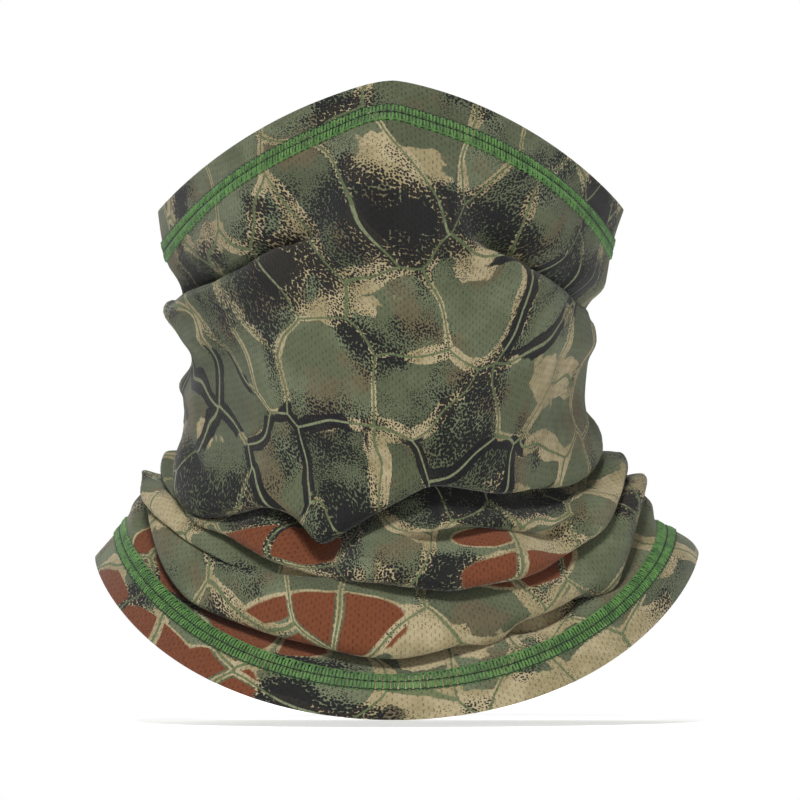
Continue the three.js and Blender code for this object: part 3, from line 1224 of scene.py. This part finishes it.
@dataclass(frozen=True)
class BandStitching:
    """A band of cover stitching: needle threads, a cover thread over the cloth, a looper under it.

    Attributes:
        name: The start of its pieces' names.
        cad_name: The start of its nodes' names in the frame.
        needles: How many needle threads it has.
        width: From its first needle thread to its last, in metres.
        under: Depth of cloth between the outer face and the looper.
        pitch: Length of a stitch.
        cover: The cover thread.
        needle: The needle threads.
        looper: The looper thread.
        overhang: How far the cover thread turns beyond the outer needle threads.
        arch: How high the cover thread rises between two needle threads.
        sink: How deep the needle threads press it into the cloth.
        slack: How far the looper thread sags between two needle threads.
        dash_middle: Height of a needle thread halfway between over and under.
        dash_rise: How far it goes above and below that.
        dash_share: What is added to its cosine, to lengthen the part on top.
        crossing_points: Points of the cover thread's path to one crossing.
        needle_points: Points of a needle thread's path to one stitch.
    """

    name: str
    cad_name: str
    needles: int
    width: float
    under: float
    pitch: float = 2.4 * MM
    cover: Thread = Thread(0.44 * MM, 6, 0.75)
    needle: Thread = Thread(0.24 * MM, 6)
    looper: Thread = Thread(0.22 * MM, 5)
    overhang: float = 0.25 * MM
    arch: float = 0.52 * MM
    sink: float = 0.06 * MM
    slack: float = 0.25 * MM
    dash_middle: float = 0.14 * MM
    dash_rise: float = 0.34 * MM
    dash_share: float = 0.5
    crossing_points: int = 14
    needle_points: int = 8

    def stitch_count(self, line: StitchLine) -> int:
        """Whole number of stitches that fit the line."""
        return max(2, round(line.length / self.pitch))

    def zigzag(self, line: StitchLine) -> tuple[Array, Array, Array]:
        """A path that crosses the band again and again, twice to each stitch.

        Each crossing is a rung square to the band: across it the path is a cosine, and along it
        the path moves on by its share of the way plus a sine, so that it moves at the turns.

        Args:
            line: The line it follows.

        Returns:
            Distances along and across, and each point's place between its two needle lines,
            from 0 to 1.
        """
        rungs = self.stitch_count(line) * 2
        step = line.length / rungs
        crossing = np.arange(rungs * self.crossing_points) / self.crossing_points
        whole = np.floor(crossing)
        turn = crossing - whole
        swing = -np.cos(math.pi * turn) * np.where(whole % 2 == 0, 1, -1)
        between = np.mod((swing + 1) / 2 * (self.needles - 1), 1.0)
        along = (whole + turn + np.sin(TAU * turn) / TAU) * step
        return along, swing * (self.width / 2 + self.overhang), between

    def sew(self, line: StitchLine, finishes: "ThreadFinishes") -> list[bpy.types.Object]:
        """Sew the band along a line.

        Between two needle threads the cover thread's height is the square root of a sine, and
        the looper's depth is a sine.

        Args:
            line: The band's middle line.
            finishes: The threads' materials.

        Returns:
            Every thread as its own piece.
        """
        pieces = []
        along, across, between = self.zigzag(line)
        bow = np.sin(math.pi * between)
        lift = self.arch * np.sqrt(bow) - self.sink
        cover = self.cover.sweep(f"{self.name}_cover", line, along, across, lift)
        pieces.append(self.finish(cover, "cover_thread", finishes.cover))
        depth = self.under + self.looper.radius + self.slack * bow
        looper = self.looper.sweep(f"{self.name}_looper", line, along, across, -depth)
        pieces.append(self.finish(looper, "looper_thread", finishes.cover))
        for number in range(self.needles):
            offset = self.width * (number / (self.needles - 1) - 0.5)
            pieces.append(self.needle_line(line, number + 1, offset, finishes))
        return pieces

    def needle_line(
        self, line: StitchLine, number: int, offset: float, finishes: "ThreadFinishes"
    ) -> bpy.types.Object:
        """Sew one needle thread: each stitch, a dash over the cover thread, then down through.

        Its height is a cosine, raised and flattened so that two thirds of a stitch lie on top.

        Args:
            line: The band's middle line.
            number: Which needle thread it is, from 1.
            offset: Its distance beside the line.
            finishes: The threads' materials.

        Returns:
            The thread, which has the cover thread's material if it is the last, and otherwise the near-black
            one that is painted shade of its dimples.
        """
        count = self.stitch_count(line)
        steps = np.arange(count * self.needle_points) / self.needle_points
        wave = np.clip(np.cos(TAU * steps) + self.dash_share, -1, 1)
        lift = self.dash_middle + self.dash_rise * np.sign(wave) * np.sqrt(np.abs(wave))
        along = steps * line.length / count
        thread = self.needle.sweep(
            f"{self.name}_needle_{number}", line, along, np.full_like(along, offset), lift
        )
        # All but the last needle thread take the near-black material, which is painted shade of their
        # dimples.
        last = number == self.needles
        return self.finish(thread, f"needle_thread_{number}", finishes.cover if last else finishes.needle)

    def finish(self, piece: bpy.types.Object, node: str, material: bpy.types.Material) -> bpy.types.Object:
        """Give a thread its material, and let it stand for its node of the frame.

        Args:
            piece: The thread.
            node: The end of its node's name.
            material: What it is made of.

        Returns:
            The same thread.
        """
        piece.data.materials.append(material)
        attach(piece, "root")
        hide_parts(f"{self.cad_name}_{node}")
        LOG.info("%s: %d faces", piece.name, len(piece.data.polygons))
        return piece


# ---------------------------------------------------------------------------------------------
# Shader nodes
# ---------------------------------------------------------------------------------------------


class Signal:
    """A number, colour or place that varies over a surface: a shader's output socket."""

    def __init__(self, sheet: "NodeSheet", socket: bpy.types.NodeSocket) -> None:
        """Wrap a socket of a material's node sheet."""
        self.sheet = sheet
        self.socket = socket

    def _join(self, operation: str, *others: "Signal | float") -> "Signal":
        """Add a Math node that takes this socket first."""
        return self.sheet.math(operation, self, *others)

    def __add__(self, other: "Signal | float") -> "Signal":
        """Sum."""
        return self._join("ADD", other)

    __radd__ = __add__

    def __sub__(self, other: "Signal | float") -> "Signal":
        """Difference."""
        return self._join("SUBTRACT", other)

    def __rsub__(self, other: float) -> "Signal":
        """Difference from a number."""
        return self.sheet.math("SUBTRACT", other, self)

    def __mul__(self, other: "Signal | float") -> "Signal":
        """Product."""
        return self._join("MULTIPLY", other)

    __rmul__ = __mul__

    def __truediv__(self, other: "Signal | float") -> "Signal":
        """Quotient."""
        return self._join("DIVIDE", other)

    def __lt__(self, other: "Signal | float") -> "Signal":
        """One where this is less, otherwise zero."""
        return self._join("LESS_THAN", other)

    def __gt__(self, other: "Signal | float") -> "Signal":
        """One where this is more, otherwise zero."""
        return self._join("GREATER_THAN", other)

    def abs(self) -> "Signal":
        """Size without sign."""
        return self._join("ABSOLUTE")

    def fraction(self) -> "Signal":
        """What is left over a whole number."""
        return self._join("FRACT")

    def floor(self) -> "Signal":
        """The whole number below."""
        return self._join("FLOOR")

    def larger(self, other: "Signal | float") -> "Signal":
        """The larger of two."""
        return self._join("MAXIMUM", other)

    def smaller(self, other: "Signal | float") -> "Signal":
        """The smaller of two."""
        return self._join("MINIMUM", other)

    def rise(self, low: float, high: float) -> "Signal":
        """Rise smoothly from zero at low to one at high.

        Args:
            low: Where the result is zero.
            high: Where it is one. Below low, it makes the rise a fall.

        Returns:
            The result, from 0 to 1.
        """
        node = self.sheet.node(
            "ShaderNodeMapRange",
            {"interpolation_type": "SMOOTHSTEP", "clamp": True},
            {"Value": self, "From Min": min(low, high), "From Max": max(low, high)},
        )
        share = Signal(self.sheet, node.outputs["Result"])
        return share if low < high else 1 - share


Paint = tuple[float, float, float]


def paint(red: int, green: int, blue: int) -> Paint:
    """A display colour of 0 to 255 as the shader's linear one."""
    shares = [value / 255 for value in (red, green, blue)]
    return tuple(c / 12.92 if c <= 0.04045 else ((c + 0.055) / 1.055) ** 2.4 for c in shares)


class NodeSheet:
    """The node tree of one material, with the few ways that this script adds to it."""

    def __init__(self, name: str) -> None:
        """Start a material whose tree holds only a surface shader and the output.

        Args:
            name: The material's name.
        """
        self.material = bpy.data.materials.new(name)
        self.material.use_nodes = True
        self.tree = self.material.node_tree
        self.shader = self.tree.nodes["Principled BSDF"]

    def node(
        self, kind: str, settings: dict[str, object], sockets: dict[str | int, object]
    ) -> bpy.types.Node:
        """Add a node.

        Args:
            kind: The node's type.
            settings: Its own settings, set before its sockets.
            sockets: A value or a signal for each input, by name or number.

        Returns:
            The node.
        """
        made = self.tree.nodes.new(kind)
        for key, value in settings.items():
            setattr(made, key, value)
        for key, value in sockets.items():
            self.feed(made.inputs[key], value)
        return made

    def feed(self, socket: bpy.types.NodeSocket, value: object) -> None:
        """Link a signal to a socket, or set the socket to a number or a colour.

        Args:
            socket: The input.
            value: What it gets.
        """
        if isinstance(value, Signal):
            self.tree.links.new(value.socket, socket)
        elif isinstance(value, tuple) and socket.type == "RGBA":
            socket.default_value = (*value, 1.0)
        else:
            socket.default_value = value

    def math(self, operation: str, *values: "Signal | float") -> Signal:
        """Add a Math node on one, two or three values."""
        made = self.node("ShaderNodeMath", {"operation": operation}, dict(enumerate(values)))
        return Signal(self, made.outputs[0])

    def cloth_place(self) -> tuple[Signal, Signal]:
        """Read the place on the flat cloth.

        Returns:
            Millimetres round the tube and millimetres up it.
        """
        made = self.node("ShaderNodeUVMap", {"uv_map": "cloth"}, {})
        parts = self.node("ShaderNodeSeparateXYZ", {}, {0: Signal(self, made.outputs[0])})
        return Signal(self, parts.outputs[0]) / MM, Signal(self, parts.outputs[1]) / MM

    def attribute(self, name: str) -> Signal:
        """Read a number that the mesh carries at its points."""
        made = self.node("ShaderNodeAttribute", {"attribute_name": name}, {})
        return Signal(self, made.outputs["Fac"])

    def spot(self, x: "Signal | float", y: "Signal | float") -> Signal:
        """Join two numbers as a place."""
        made = self.node("ShaderNodeCombineXYZ", {}, {0: x, 1: y})
        return Signal(self, made.outputs[0])

    def noise(self, spot: Signal, scale: float, detail: float = 2.0) -> Signal:
        """Add smooth flat noise about one half.

        Args:
            spot: The place.
            scale: Waves to each unit of the place.
            detail: How many finer layers lie over it.

        Returns:
            The noise, from 0 to 1.
        """
        made = self.node(
            "ShaderNodeTexNoise",
            {"noise_dimensions": "2D"},
            {"Vector": spot, "Scale": scale, "Detail": detail},
        )
        return Signal(self, made.outputs["Fac"])

    def scatter(self, spot: Signal, feature: str, randomness: float) -> bpy.types.Node:
        """Add a node of scattered cells, one to each unit of the place.

        Args:
            spot: The place.
            feature: What the node measures.
            randomness: How uneven the cells are, from 0 to 1.

        Returns:
            The node.
        """
        return self.node(
            "ShaderNodeTexVoronoi",
            {"voronoi_dimensions": "2D", "feature": feature},
            {"Vector": spot, "Scale": 1.0, "Randomness": randomness},
        )

    def blend(self, share: "Signal | float", first: "Signal | Paint", second: "Signal | Paint") -> Signal:
        """Mix two colours by a share of the second."""
        made = self.node("ShaderNodeMix", {"data_type": "RGBA"}, {0: share, 6: first, 7: second})
        return Signal(self, made.outputs[2])

    def bump(self, height: Signal, depth: float, strength: float) -> Signal:
        """Turn heights from 0 to 1 into a normal, for a relief of depth metres."""
        made = self.node("ShaderNodeBump", {}, {"Strength": strength, "Distance": depth, "Height": height})
        return Signal(self, made.outputs[0])

    def surface(self, **sockets: object) -> bpy.types.Material:
        """Set the surface shader's sockets.

        Args:
            sockets: A value or a signal for each, its name written with underscores.

        Returns:
            The finished material.
        """
        for key, value in sockets.items():
            self.feed(self.shader.inputs[key.replace("_", " ")], value)
        return self.material


# ---------------------------------------------------------------------------------------------
# Finishes
# ---------------------------------------------------------------------------------------------


@dataclass(frozen=True)
class MeshKnit:
    """The knit's own texture: upright pin holes in brick order, fine ribs and soft pilling.

    Attributes:
        rib_pitch: From one rib to the next, in millimetres.
        hole_pitch: From one pin hole to the next up a rib, in millimetres.
        hole_painted_shade: Painted shade in a pin hole: how much darker it is than the printed face, as a
            share.
        rib_sway: How far the ribs wander, in millimetres.
        hole_sway: How far the holes wander up the ribs, in millimetres.
        half_width: Where a hole begins and is fully open, in ribs from its middle.
        half_height: The same, in hole pitches.
        opening: Levels of noise at which holes begin to open and are open.
    """

    rib_pitch: float = 1.27
    hole_pitch: float = 2.3
    hole_painted_shade: float = 0.42
    rib_sway: float = 0.7
    hole_sway: float = 0.9
    half_width: tuple[float, float] = (0.24, 0.08)
    half_height: tuple[float, float] = (0.33, 0.2)
    opening: tuple[float, float] = (0.3, 0.62)

    def weave(self, sheet: NodeSheet, x: Signal, y: Signal) -> tuple[Signal, Signal]:
        """Work out the knit over the cloth.

        A hole is a fall from the middle of its rib times a fall from the middle of its pitch.
        The yarn is highest along a rib's middle, with bands of loops across it.

        Args:
            sheet: The material's nodes.
            x: Millimetres round the tube.
            y: Millimetres up it.

        Returns:
            How open a pin hole is, and the height of the yarn, both from 0 and at most 1.
        """
        wander = sheet.noise(sheet.spot(x, y), 0.35) - 0.5
        rib = (x + wander * self.rib_sway) / self.rib_pitch
        order = rib.floor() * 0.5
        across = (rib.fraction() - 0.5).abs()
        up = ((y + wander * self.hole_sway) / self.hole_pitch + order).fraction()
        hole = across.rise(*self.half_width) * (up - 0.5).abs().rise(*self.half_height)
        patchy = sheet.noise(sheet.spot(x, y), 0.8).rise(*self.opening)
        loops = sheet.node(
            "ShaderNodeTexWave",
            {"wave_type": "BANDS", "bands_direction": "Y"},
            {"Vector": sheet.spot(x, y), "Scale": 0.5, "Distortion": 1.2, "Detail Scale": 2.0},
        )
        yarn = (1 - across * 0.9) * 0.6 + Signal(sheet, loops.outputs["Fac"]) * 0.25
        return hole * patchy, yarn * (1 - hole * 0.9)


@dataclass(frozen=True)
class PrintNet:
    """What the layers of the print share at each place of the cloth.

    Attributes:
        x: Millimetres round the tube.
        y: Millimetres up it.
        place: The two as one.
        edge: About how many millimetres it is to the nearest line of the net.
        lot: A random number for each cell of the net.
        lot_two: Another one.
        cloudy: Broad noise.
        grain: Fine noise.
        ragged: Noise about zero that tears the edges of areas.
        dots: Distance to the middle of the nearest of many small dots, in dots.
    """

    x: Signal
    y: Signal
    place: Signal
    edge: Signal
    lot: Signal
    lot_two: Signal
    cloudy: Signal
    grain: Signal
    ragged: Signal
    dots: Signal


@dataclass(frozen=True)
class PrintedFace:
    """The outer face: a camouflage of uneven cells, printed over the mesh knit.

    Attributes:
        knit: The knit under the print.
        cell_width: Of the net's cells, in millimetres.
        cell_height: The same up the tube.
        cell_reach: Millimetres for one unit of the net's own distance.
        unevenness: Of the net's cells, from 0 to 1.
        sways: Length and size of the waves that bend the net, in millimetres.
        dot_pitch: Of the stippled dots, in millimetres.
        coverage: How much of the cloth an ink hides.
        relief: Height of the yarn, in metres.
    """

    knit: MeshKnit = MeshKnit()
    cell_width: float = 27.0
    cell_height: float = 33.0
    cell_reach: float = 29.0
    unevenness: float = 0.7
    sways: tuple[tuple[float, float], ...] = ((60.0, 24.0), (16.0, 5.0))
    dot_pitch: float = 0.85
    coverage: float = 0.96
    relief: float = 0.35 * MM
    olive: Paint = paint(89, 95, 71)
    sage: Paint = paint(106, 113, 88)
    moss: Paint = paint(75, 80, 60)
    umber: Paint = paint(104, 88, 66)
    tan: Paint = paint(168, 155, 122)
    sand: Paint = paint(150, 138, 104)
    rust: Paint = paint(110, 62, 38)
    line: Paint = paint(92, 104, 72)
    pale_line: Paint = paint(128, 136, 104)
    black: Paint = paint(22, 22, 25)

    def sway(self, sheet: NodeSheet, place: Signal) -> Signal:
        """Add a broad wave of noise about zero to a small one."""
        waves = [(sheet.noise(place, 1 / wave, 0.0) - 0.5) * size for wave, size in self.sways]
        return waves[0] + waves[1]

    def net(self, sheet: NodeSheet) -> PrintNet:
        """Lay out the net of cells, bent by broad and small waves, and the noises of the print.

        Args:
            sheet: The material's nodes.

        Returns:
            What the layers share.
        """
        x, y = sheet.cloth_place()
        place = sheet.spot(x, y)
        apart = sheet.spot(x + 500, y)
        across = (x + self.sway(sheet, place)) / self.cell_width
        up = (y + self.sway(sheet, apart)) / self.cell_height
        cell = sheet.spot(across, up)
        distance = sheet.scatter(cell, "DISTANCE_TO_EDGE", self.unevenness).outputs["Distance"]
        pick = sheet.scatter(cell, "F1", self.unevenness).outputs["Color"]
        tints = sheet.node("ShaderNodeSeparateColor", {}, {0: Signal(sheet, pick)})
        dot = sheet.spot(x / self.dot_pitch, y / self.dot_pitch)
        return PrintNet(
            x=x,
            y=y,
            place=place,
            edge=Signal(sheet, distance) * self.cell_reach,
            lot=Signal(sheet, tints.outputs[0]),
            lot_two=Signal(sheet, tints.outputs[1]),
            cloudy=sheet.noise(place, 1 / 22, 3.0),
            grain=sheet.noise(place, 1 / 2.2, 2.0),
            ragged=sheet.noise(sheet.spot(x, y + 900), 1 / 9, 3.0) - 0.5,
            dots=Signal(sheet, sheet.scatter(dot, "F1", 0.9).outputs["Distance"]),
        )

    def greens(self, sheet: NodeSheet, net: PrintNet) -> Signal:
        """Cloud olive with sage, darken some cells with moss, and mottle it all with umber.

        Args:
            sheet: The material's nodes.
            net: What the layers share.

        Returns:
            The ground's colour.
        """
        colour = sheet.blend(net.cloudy.rise(0.35, 0.65), self.olive, self.sage)
        colour = sheet.blend((net.lot > 0.62) * 0.55, colour, self.moss)
        mottle = sheet.noise(sheet.spot(net.x + 700, net.y), 1 / 24, 4.0)
        return sheet.blend(mottle.rise(0.54, 0.66) * 0.6, colour, self.umber)

    def pale_and_rust(self, sheet: NodeSheet, net: PrintNet, colour: Signal) -> tuple[Signal, Signal]:
        """Lay the tan areas, the pale bands along the net's lines and the rust areas.

        A band is as wide as the noise lets its rim be, and the rust keeps off the net's lines.

        Args:
            sheet: The material's nodes.
            net: What the layers share.
            colour: The colour beneath.

        Returns:
            The colour, and how much of it is rust.
        """
        tan_area = sheet.attribute(Ink.TAN.value) + net.ragged * 0.7 + (net.lot_two - 0.5) * 0.5
        tan_zone = tan_area.rise(0.48, 0.52)
        pale = sheet.blend(sheet.noise(net.place, 1 / 12).rise(0.4, 0.6), self.tan, self.sand)
        colour = sheet.blend(tan_zone, colour, pale)
        rust_area = sheet.attribute(Ink.RUST.value) + net.ragged * 0.12
        colour = sheet.blend(rust_area.rise(0.44, 0.47) * rust_area.rise(0.56, 0.53), colour, pale)
        rim = 1.0 + (sheet.noise(net.place, 1 / 34) - 0.45).larger(0.0) * 13
        band = (rim + (net.dots - 0.4) * 0.6 - net.edge).rise(-0.12, 0.12)
        colour = sheet.blend(band * (1 - tan_zone * 0.2), colour, pale)
        rusty = rust_area.rise(0.50, 0.54) * (1 - net.edge.rise(1.9, 1.5))
        return sheet.blend(rusty, colour, self.rust), rusty

    def blacks(self, sheet: NodeSheet, net: PrintNet, colour: Signal, rusty: Signal) -> tuple[Signal, Signal]:
        """Lay the black: dots that grow with the shade, then solid black, and heavy outlines.

        The shade is the black areas, with more along the net's lines and in slow drifts.

        Args:
            sheet: The material's nodes.
            net: What the layers share.
            colour: The colour beneath.
            rusty: How much of it is rust, which the black spares.

        Returns:
            The colour, and how much of it is solid black.
        """
        lining = (1 - net.edge / 11).larger(0.0) * (net.cloudy - 0.44) * 1.5
        drift = (sheet.noise(sheet.spot(net.x + 300, net.y), 1 / 30) - 0.48).larger(0.0)
        shade = sheet.attribute(Ink.BLACK.value) + net.ragged * 0.75 + lining
        shade = (shade + drift * 2.0) * (1 - rusty * 0.75)
        solid = shade.rise(0.96, 1.02)
        stipple = (net.dots < (shade - 0.12).smaller(0.66)) * (shade > 0.18)
        colour = sheet.blend(solid.larger(stipple).smaller(1.0) * self.coverage, colour, self.black)
        outline = sheet.attribute(Ink.OUTLINE.value) + net.ragged * 0.4
        heavy = outline.rise(0.45, 0.5) * (net.edge - 2.9 + net.ragged * 3.0).rise(0.15, -0.15)
        return sheet.blend(heavy * self.coverage, colour, self.black), solid.larger(heavy)

    def build(self) -> bpy.types.Material:
        """Lay the print down layer by layer, a thin line along the net, then the knit over it, with painted
        shade in its pin holes and between its raised ribs.

        Returns:
            The material.
        """
        sheet = NodeSheet("printed_knit_face")
        net = self.net(sheet)
        colour, rusty = self.pale_and_rust(sheet, net, self.greens(sheet, net))
        colour, solid = self.blacks(sheet, net, colour, rusty)
        thin = (net.edge + (net.grain - 0.5) * 0.25).rise(0.55, 0.3)
        colour = sheet.blend(thin * 0.9, colour, sheet.blend(solid, self.line, self.pale_line))
        hole, yarn = self.knit.weave(sheet, net.x, net.y)
        # The knit's tone: random grain, painted shade between the raised yarn of the ribs, and painted shade
        # in the pin holes.
        tone = (0.74 + net.grain * 0.28 + yarn * 0.18) * (1 - hole * self.knit.hole_painted_shade)
        tone_and_painted_shade = sheet.node("ShaderNodeHueSaturation", {}, {"Value": tone, "Color": colour})
        return sheet.surface(
            Base_Color=Signal(sheet, tone_and_painted_shade.outputs[0]),
            Roughness=0.92,
            Specular_IOR_Level=0.18,
            Sheen_Weight=0.12,
            Sheen_Roughness=0.5,
            Normal=sheet.bump(yarn, self.relief, 0.55),
        )


@dataclass(frozen=True)
class ReverseFace:
    """The inner face: the same knit unprinted, a pale grey green where the dye has struck through.

    Attributes:
        knit: The knit.
        hole_painted_shade: Painted shade in a pin hole on this side: how much darker it is, as a share.
        relief: Height of the yarn, in metres.
        base: Its paler tone.
        shade: Its darker tone.
    """

    knit: MeshKnit = MeshKnit()
    hole_painted_shade: float = 0.45
    relief: float = 0.3 * MM
    base: Paint = paint(150, 154, 136)
    shade: Paint = paint(122, 128, 108)

    def build(self) -> bpy.types.Material:
        """Cloud two tones together and lay the knit over them, with painted shade in its pin holes.

        Returns:
            The material.
        """
        sheet = NodeSheet("knit_reverse")
        x, y = sheet.cloth_place()
        place = sheet.spot(x, y)
        colour = sheet.blend(sheet.noise(place, 1 / 18, 4.0).rise(0.35, 0.7), self.base, self.shade)
        hole, yarn = self.knit.weave(sheet, x, y)
        # The knit's tone: random noise, and painted shade in the pin holes.
        tone = (0.92 + sheet.noise(place, 0.6) * 0.12) * (1 - hole * self.hole_painted_shade)
        tone_and_painted_shade = sheet.node("ShaderNodeHueSaturation", {}, {"Value": tone, "Color": colour})
        return sheet.surface(
            Base_Color=Signal(sheet, tone_and_painted_shade.outputs[0]),
            Roughness=0.95,
            Specular_IOR_Level=0.15,
            Normal=sheet.bump(yarn, self.relief, 0.5),
        )


@dataclass(frozen=True)
class SewingThread:
    """Textured polyester thread, with painted shade in the low places of its twist, and uneven in tone along
    its length.

    Attributes:
        name: The material's name.
        light: Its lighter tone.
        dark: Its darker tone, which is also the painted shade in its twist.
        uneven: Waves to a metre of the slow change of tone.
        twist: Waves to a metre of the filaments.
        relief: Height of the filaments, in metres.
    """

    name: str
    light: Paint
    dark: Paint
    uneven: float = 320.0
    twist: float = 3200.0
    relief: float = 0.1 * MM

    def build(self) -> bpy.types.Material:
        """Vary the tone from place to place, with a fine twist over it whose low places are painted darker as
        shade.

        Returns:
            The material.
        """
        sheet = NodeSheet(self.name)
        spot = sheet.node("ShaderNodeTexCoord", {}, {})
        place = Signal(sheet, spot.outputs["Object"])
        broad = sheet.node("ShaderNodeTexNoise", {}, {"Vector": place, "Scale": self.uneven, "Detail": 3.0})
        fine = sheet.node("ShaderNodeTexNoise", {}, {"Vector": place, "Scale": self.twist, "Detail": 2.0})
        tone = Signal(sheet, broad.outputs["Fac"]).rise(0.3, 0.7) * 0.6
        # Painted shade: the same noise as the twist's bump darkens its low places.
        tone = tone + Signal(sheet, fine.outputs["Fac"]).rise(0.35, 0.65) * 0.4
        return sheet.surface(
            Base_Color=sheet.blend(tone, self.dark, self.light),
            Roughness=0.6,
            Specular_IOR_Level=0.3,
            Sheen_Weight=0.2,
            Normal=sheet.bump(Signal(sheet, fine.outputs["Fac"]), self.relief, 0.6),
        )


@dataclass(frozen=True)
class ClothFinishes:
    """The materials of the panel's two faces."""

    face: bpy.types.Material
    reverse: bpy.types.Material


@dataclass(frozen=True)
class ThreadFinishes:
    """The materials of the two kinds of thread. The needle threads are real; their near-black green is
    painted shade of the dimples where they sink into the cover thread.
    """

    cover: bpy.types.Material
    needle: bpy.types.Material


# ---------------------------------------------------------------------------------------------
# Studio
# ---------------------------------------------------------------------------------------------


@dataclass(frozen=True)
class SoftBox:
    """A square soft light, aimed at the object. Lengths are in metres and power in watts."""

    name: str
    place: tuple[float, float, float]
    size: float
    power: float

    def build(self) -> None:
        """Hang the light and turn it to face the origin."""
        light = bpy.data.lights.new(self.name, "AREA")
        light.energy = self.power
        light.size = self.size
        lamp = bpy.data.objects.new(self.name, light)
        lamp.location = self.place
        lamp.rotation_euler = (-Vector(self.place)).to_track_quat("-Z", "Y").to_euler()
        bpy.context.scene.collection.objects.link(lamp)


@dataclass(frozen=True)
class Studio:
    """A pale floor, soft lights in a white room, and the camera.

    Attributes:
        distance: From the camera to the neck's axis, in metres.
        view_width: Width of the view at the neck's axis, in metres.
        aim: Where the camera looks: sideways, then height.
        room: Brightness of the room as a light.
        floor_size: Side of the floor, in metres.
        gap: Height of the hem over the floor, in metres.
        board: The floor's darker and lighter white.
        mottle: Waves to a metre of the floor's change of tone.
        board_glow: Light that the floor gives off, so that it's about as white as the room.
        sensor: Width of the camera's sensor, in millimetres.
        clip: How far the camera sees, in metres.
        lights: The soft lights.
    """

    distance: float = 6.0
    view_width: float = 0.264
    aim: tuple[float, float] = (0.002, -0.0099)
    room: float = 0.13
    floor_size: float = 1.6
    gap: float = 0.002
    board: tuple[Paint, Paint] = ((0.90, 0.90, 0.90), (0.93, 0.93, 0.93))
    mottle: float = 40.0
    board_glow: float = 0.6
    sensor: float = 36.0
    clip: float = 50.0
    lights: tuple[SoftBox, ...] = (
        SoftBox("key", (-0.25, -1.1, 1.75), 0.6, 38.0),
        SoftBox("fill", (0.9, -2.0, 0.3), 1.0, 7.0),
        SoftBox("back", (-0.6, 1.9, 1.2), 1.2, 26.0),
    )

    def build(self) -> None:
        """Set the floor, the lights and the camera round the object."""
        bpy.context.scene.view_settings.view_transform = "Standard"
        self.light_room()
        self.lay_floor()
        for light in self.lights:
            light.build()
        self.set_camera()

    def light_room(self) -> None:
        """Make the room white to look at, and dimmer as a light so that folds keep their shade."""
        world = bpy.data.worlds.new("studio")
        bpy.context.scene.world = world
        world.use_nodes = True
        nodes, links = world.node_tree.nodes, world.node_tree.links
        seen = nodes["Background"]
        seen.inputs["Color"].default_value = (1.0, 1.0, 1.0, 1.0)
        glow = nodes.new("ShaderNodeBackground")
        glow.inputs["Strength"].default_value = self.room
        mix = nodes.new("ShaderNodeMixShader")
        path = nodes.new("ShaderNodeLightPath")
        links.new(path.outputs["Is Camera Ray"], mix.inputs[0])
        links.new(glow.outputs[0], mix.inputs[1])
        links.new(seen.outputs[0], mix.inputs[2])
        links.new(mix.outputs[0], nodes["World Output"].inputs["Surface"])

    def lay_floor(self) -> None:
        """Lay a square of matt white board just under the hem."""
        half = self.floor_size / 2
        corners = np.array([(-half, -half), (half, -half), (half, half), (-half, half)])
        points = np.column_stack([corners, np.full(4, CAD_BOX[0][2] - self.gap)])
        floor = mesh_object("floor", points, np.arange(4)[None, :])
        sheet = NodeSheet("white_board")
        place = sheet.node("ShaderNodeTexCoord", {}, {})
        mottle = sheet.node(
            "ShaderNodeTexNoise",
            {},
            {"Vector": Signal(sheet, place.outputs["Object"]), "Scale": self.mottle},
        )
        tone = Signal(sheet, mottle.outputs["Fac"])
        white = sheet.blend(tone, *self.board)
        floor.data.materials.append(
            sheet.surface(
                Base_Color=white, Roughness=0.9, Specular_IOR_Level=0.1,
                Emission_Color=(1.0, 1.0, 1.0), Emission_Strength=self.board_glow,
            )
        )

    def set_camera(self) -> None:
        """Place the camera in front, level with the neck."""
        camera = bpy.data.cameras.new("camera")
        camera.sensor_width = self.sensor
        camera.lens = self.sensor * self.distance / self.view_width
        camera.clip_end = self.clip
        eye = bpy.data.objects.new("camera", camera)
        eye.location = (self.aim[0], -self.distance, self.aim[1])
        eye.rotation_euler = (math.pi / 2, 0.0, 0.0)
        bpy.context.scene.collection.objects.link(eye)
        bpy.context.scene.camera = eye


def main() -> None:
    """Build the gaiter piece by piece, then the studio."""
    logging.basicConfig(level=logging.INFO)
    panel = ClothPanel()
    piece = panel.build(ClothFinishes(PrintedFace().build(), ReverseFace().build()))
    threads = ThreadFinishes(
        SewingThread("bright_green_thread", paint(94, 142, 68), paint(42, 78, 36)).build(),
        # The needle threads' near-black green is painted shade of the dimples where they sink into the cover
        # thread.
        SewingThread("needle_thread_painted_dimple_shade", paint(30, 48, 26), paint(14, 22, 13)).build(),
    )
    bend = 2 * panel.thickness + panel.ply_gap
    sewn = []
    for side in Side:
        line = HemLine(panel, side, BAND_DISTANCE)
        band = BandStitching(f"{side.value}_band", f"{side.value}_hem", BAND_NEEDLES, BAND_WIDTH, bend)
        sewn += band.sew(line, threads)
    back = BandStitching("back_seam_thread", "back_seam", SEAM_NEEDLES, SEAM_WIDTH, panel.thickness)
    sewn += back.sew(BackLine(panel, SEAM_INSET), threads)
    Studio().build()


if __name__ == "__main__":
    main()
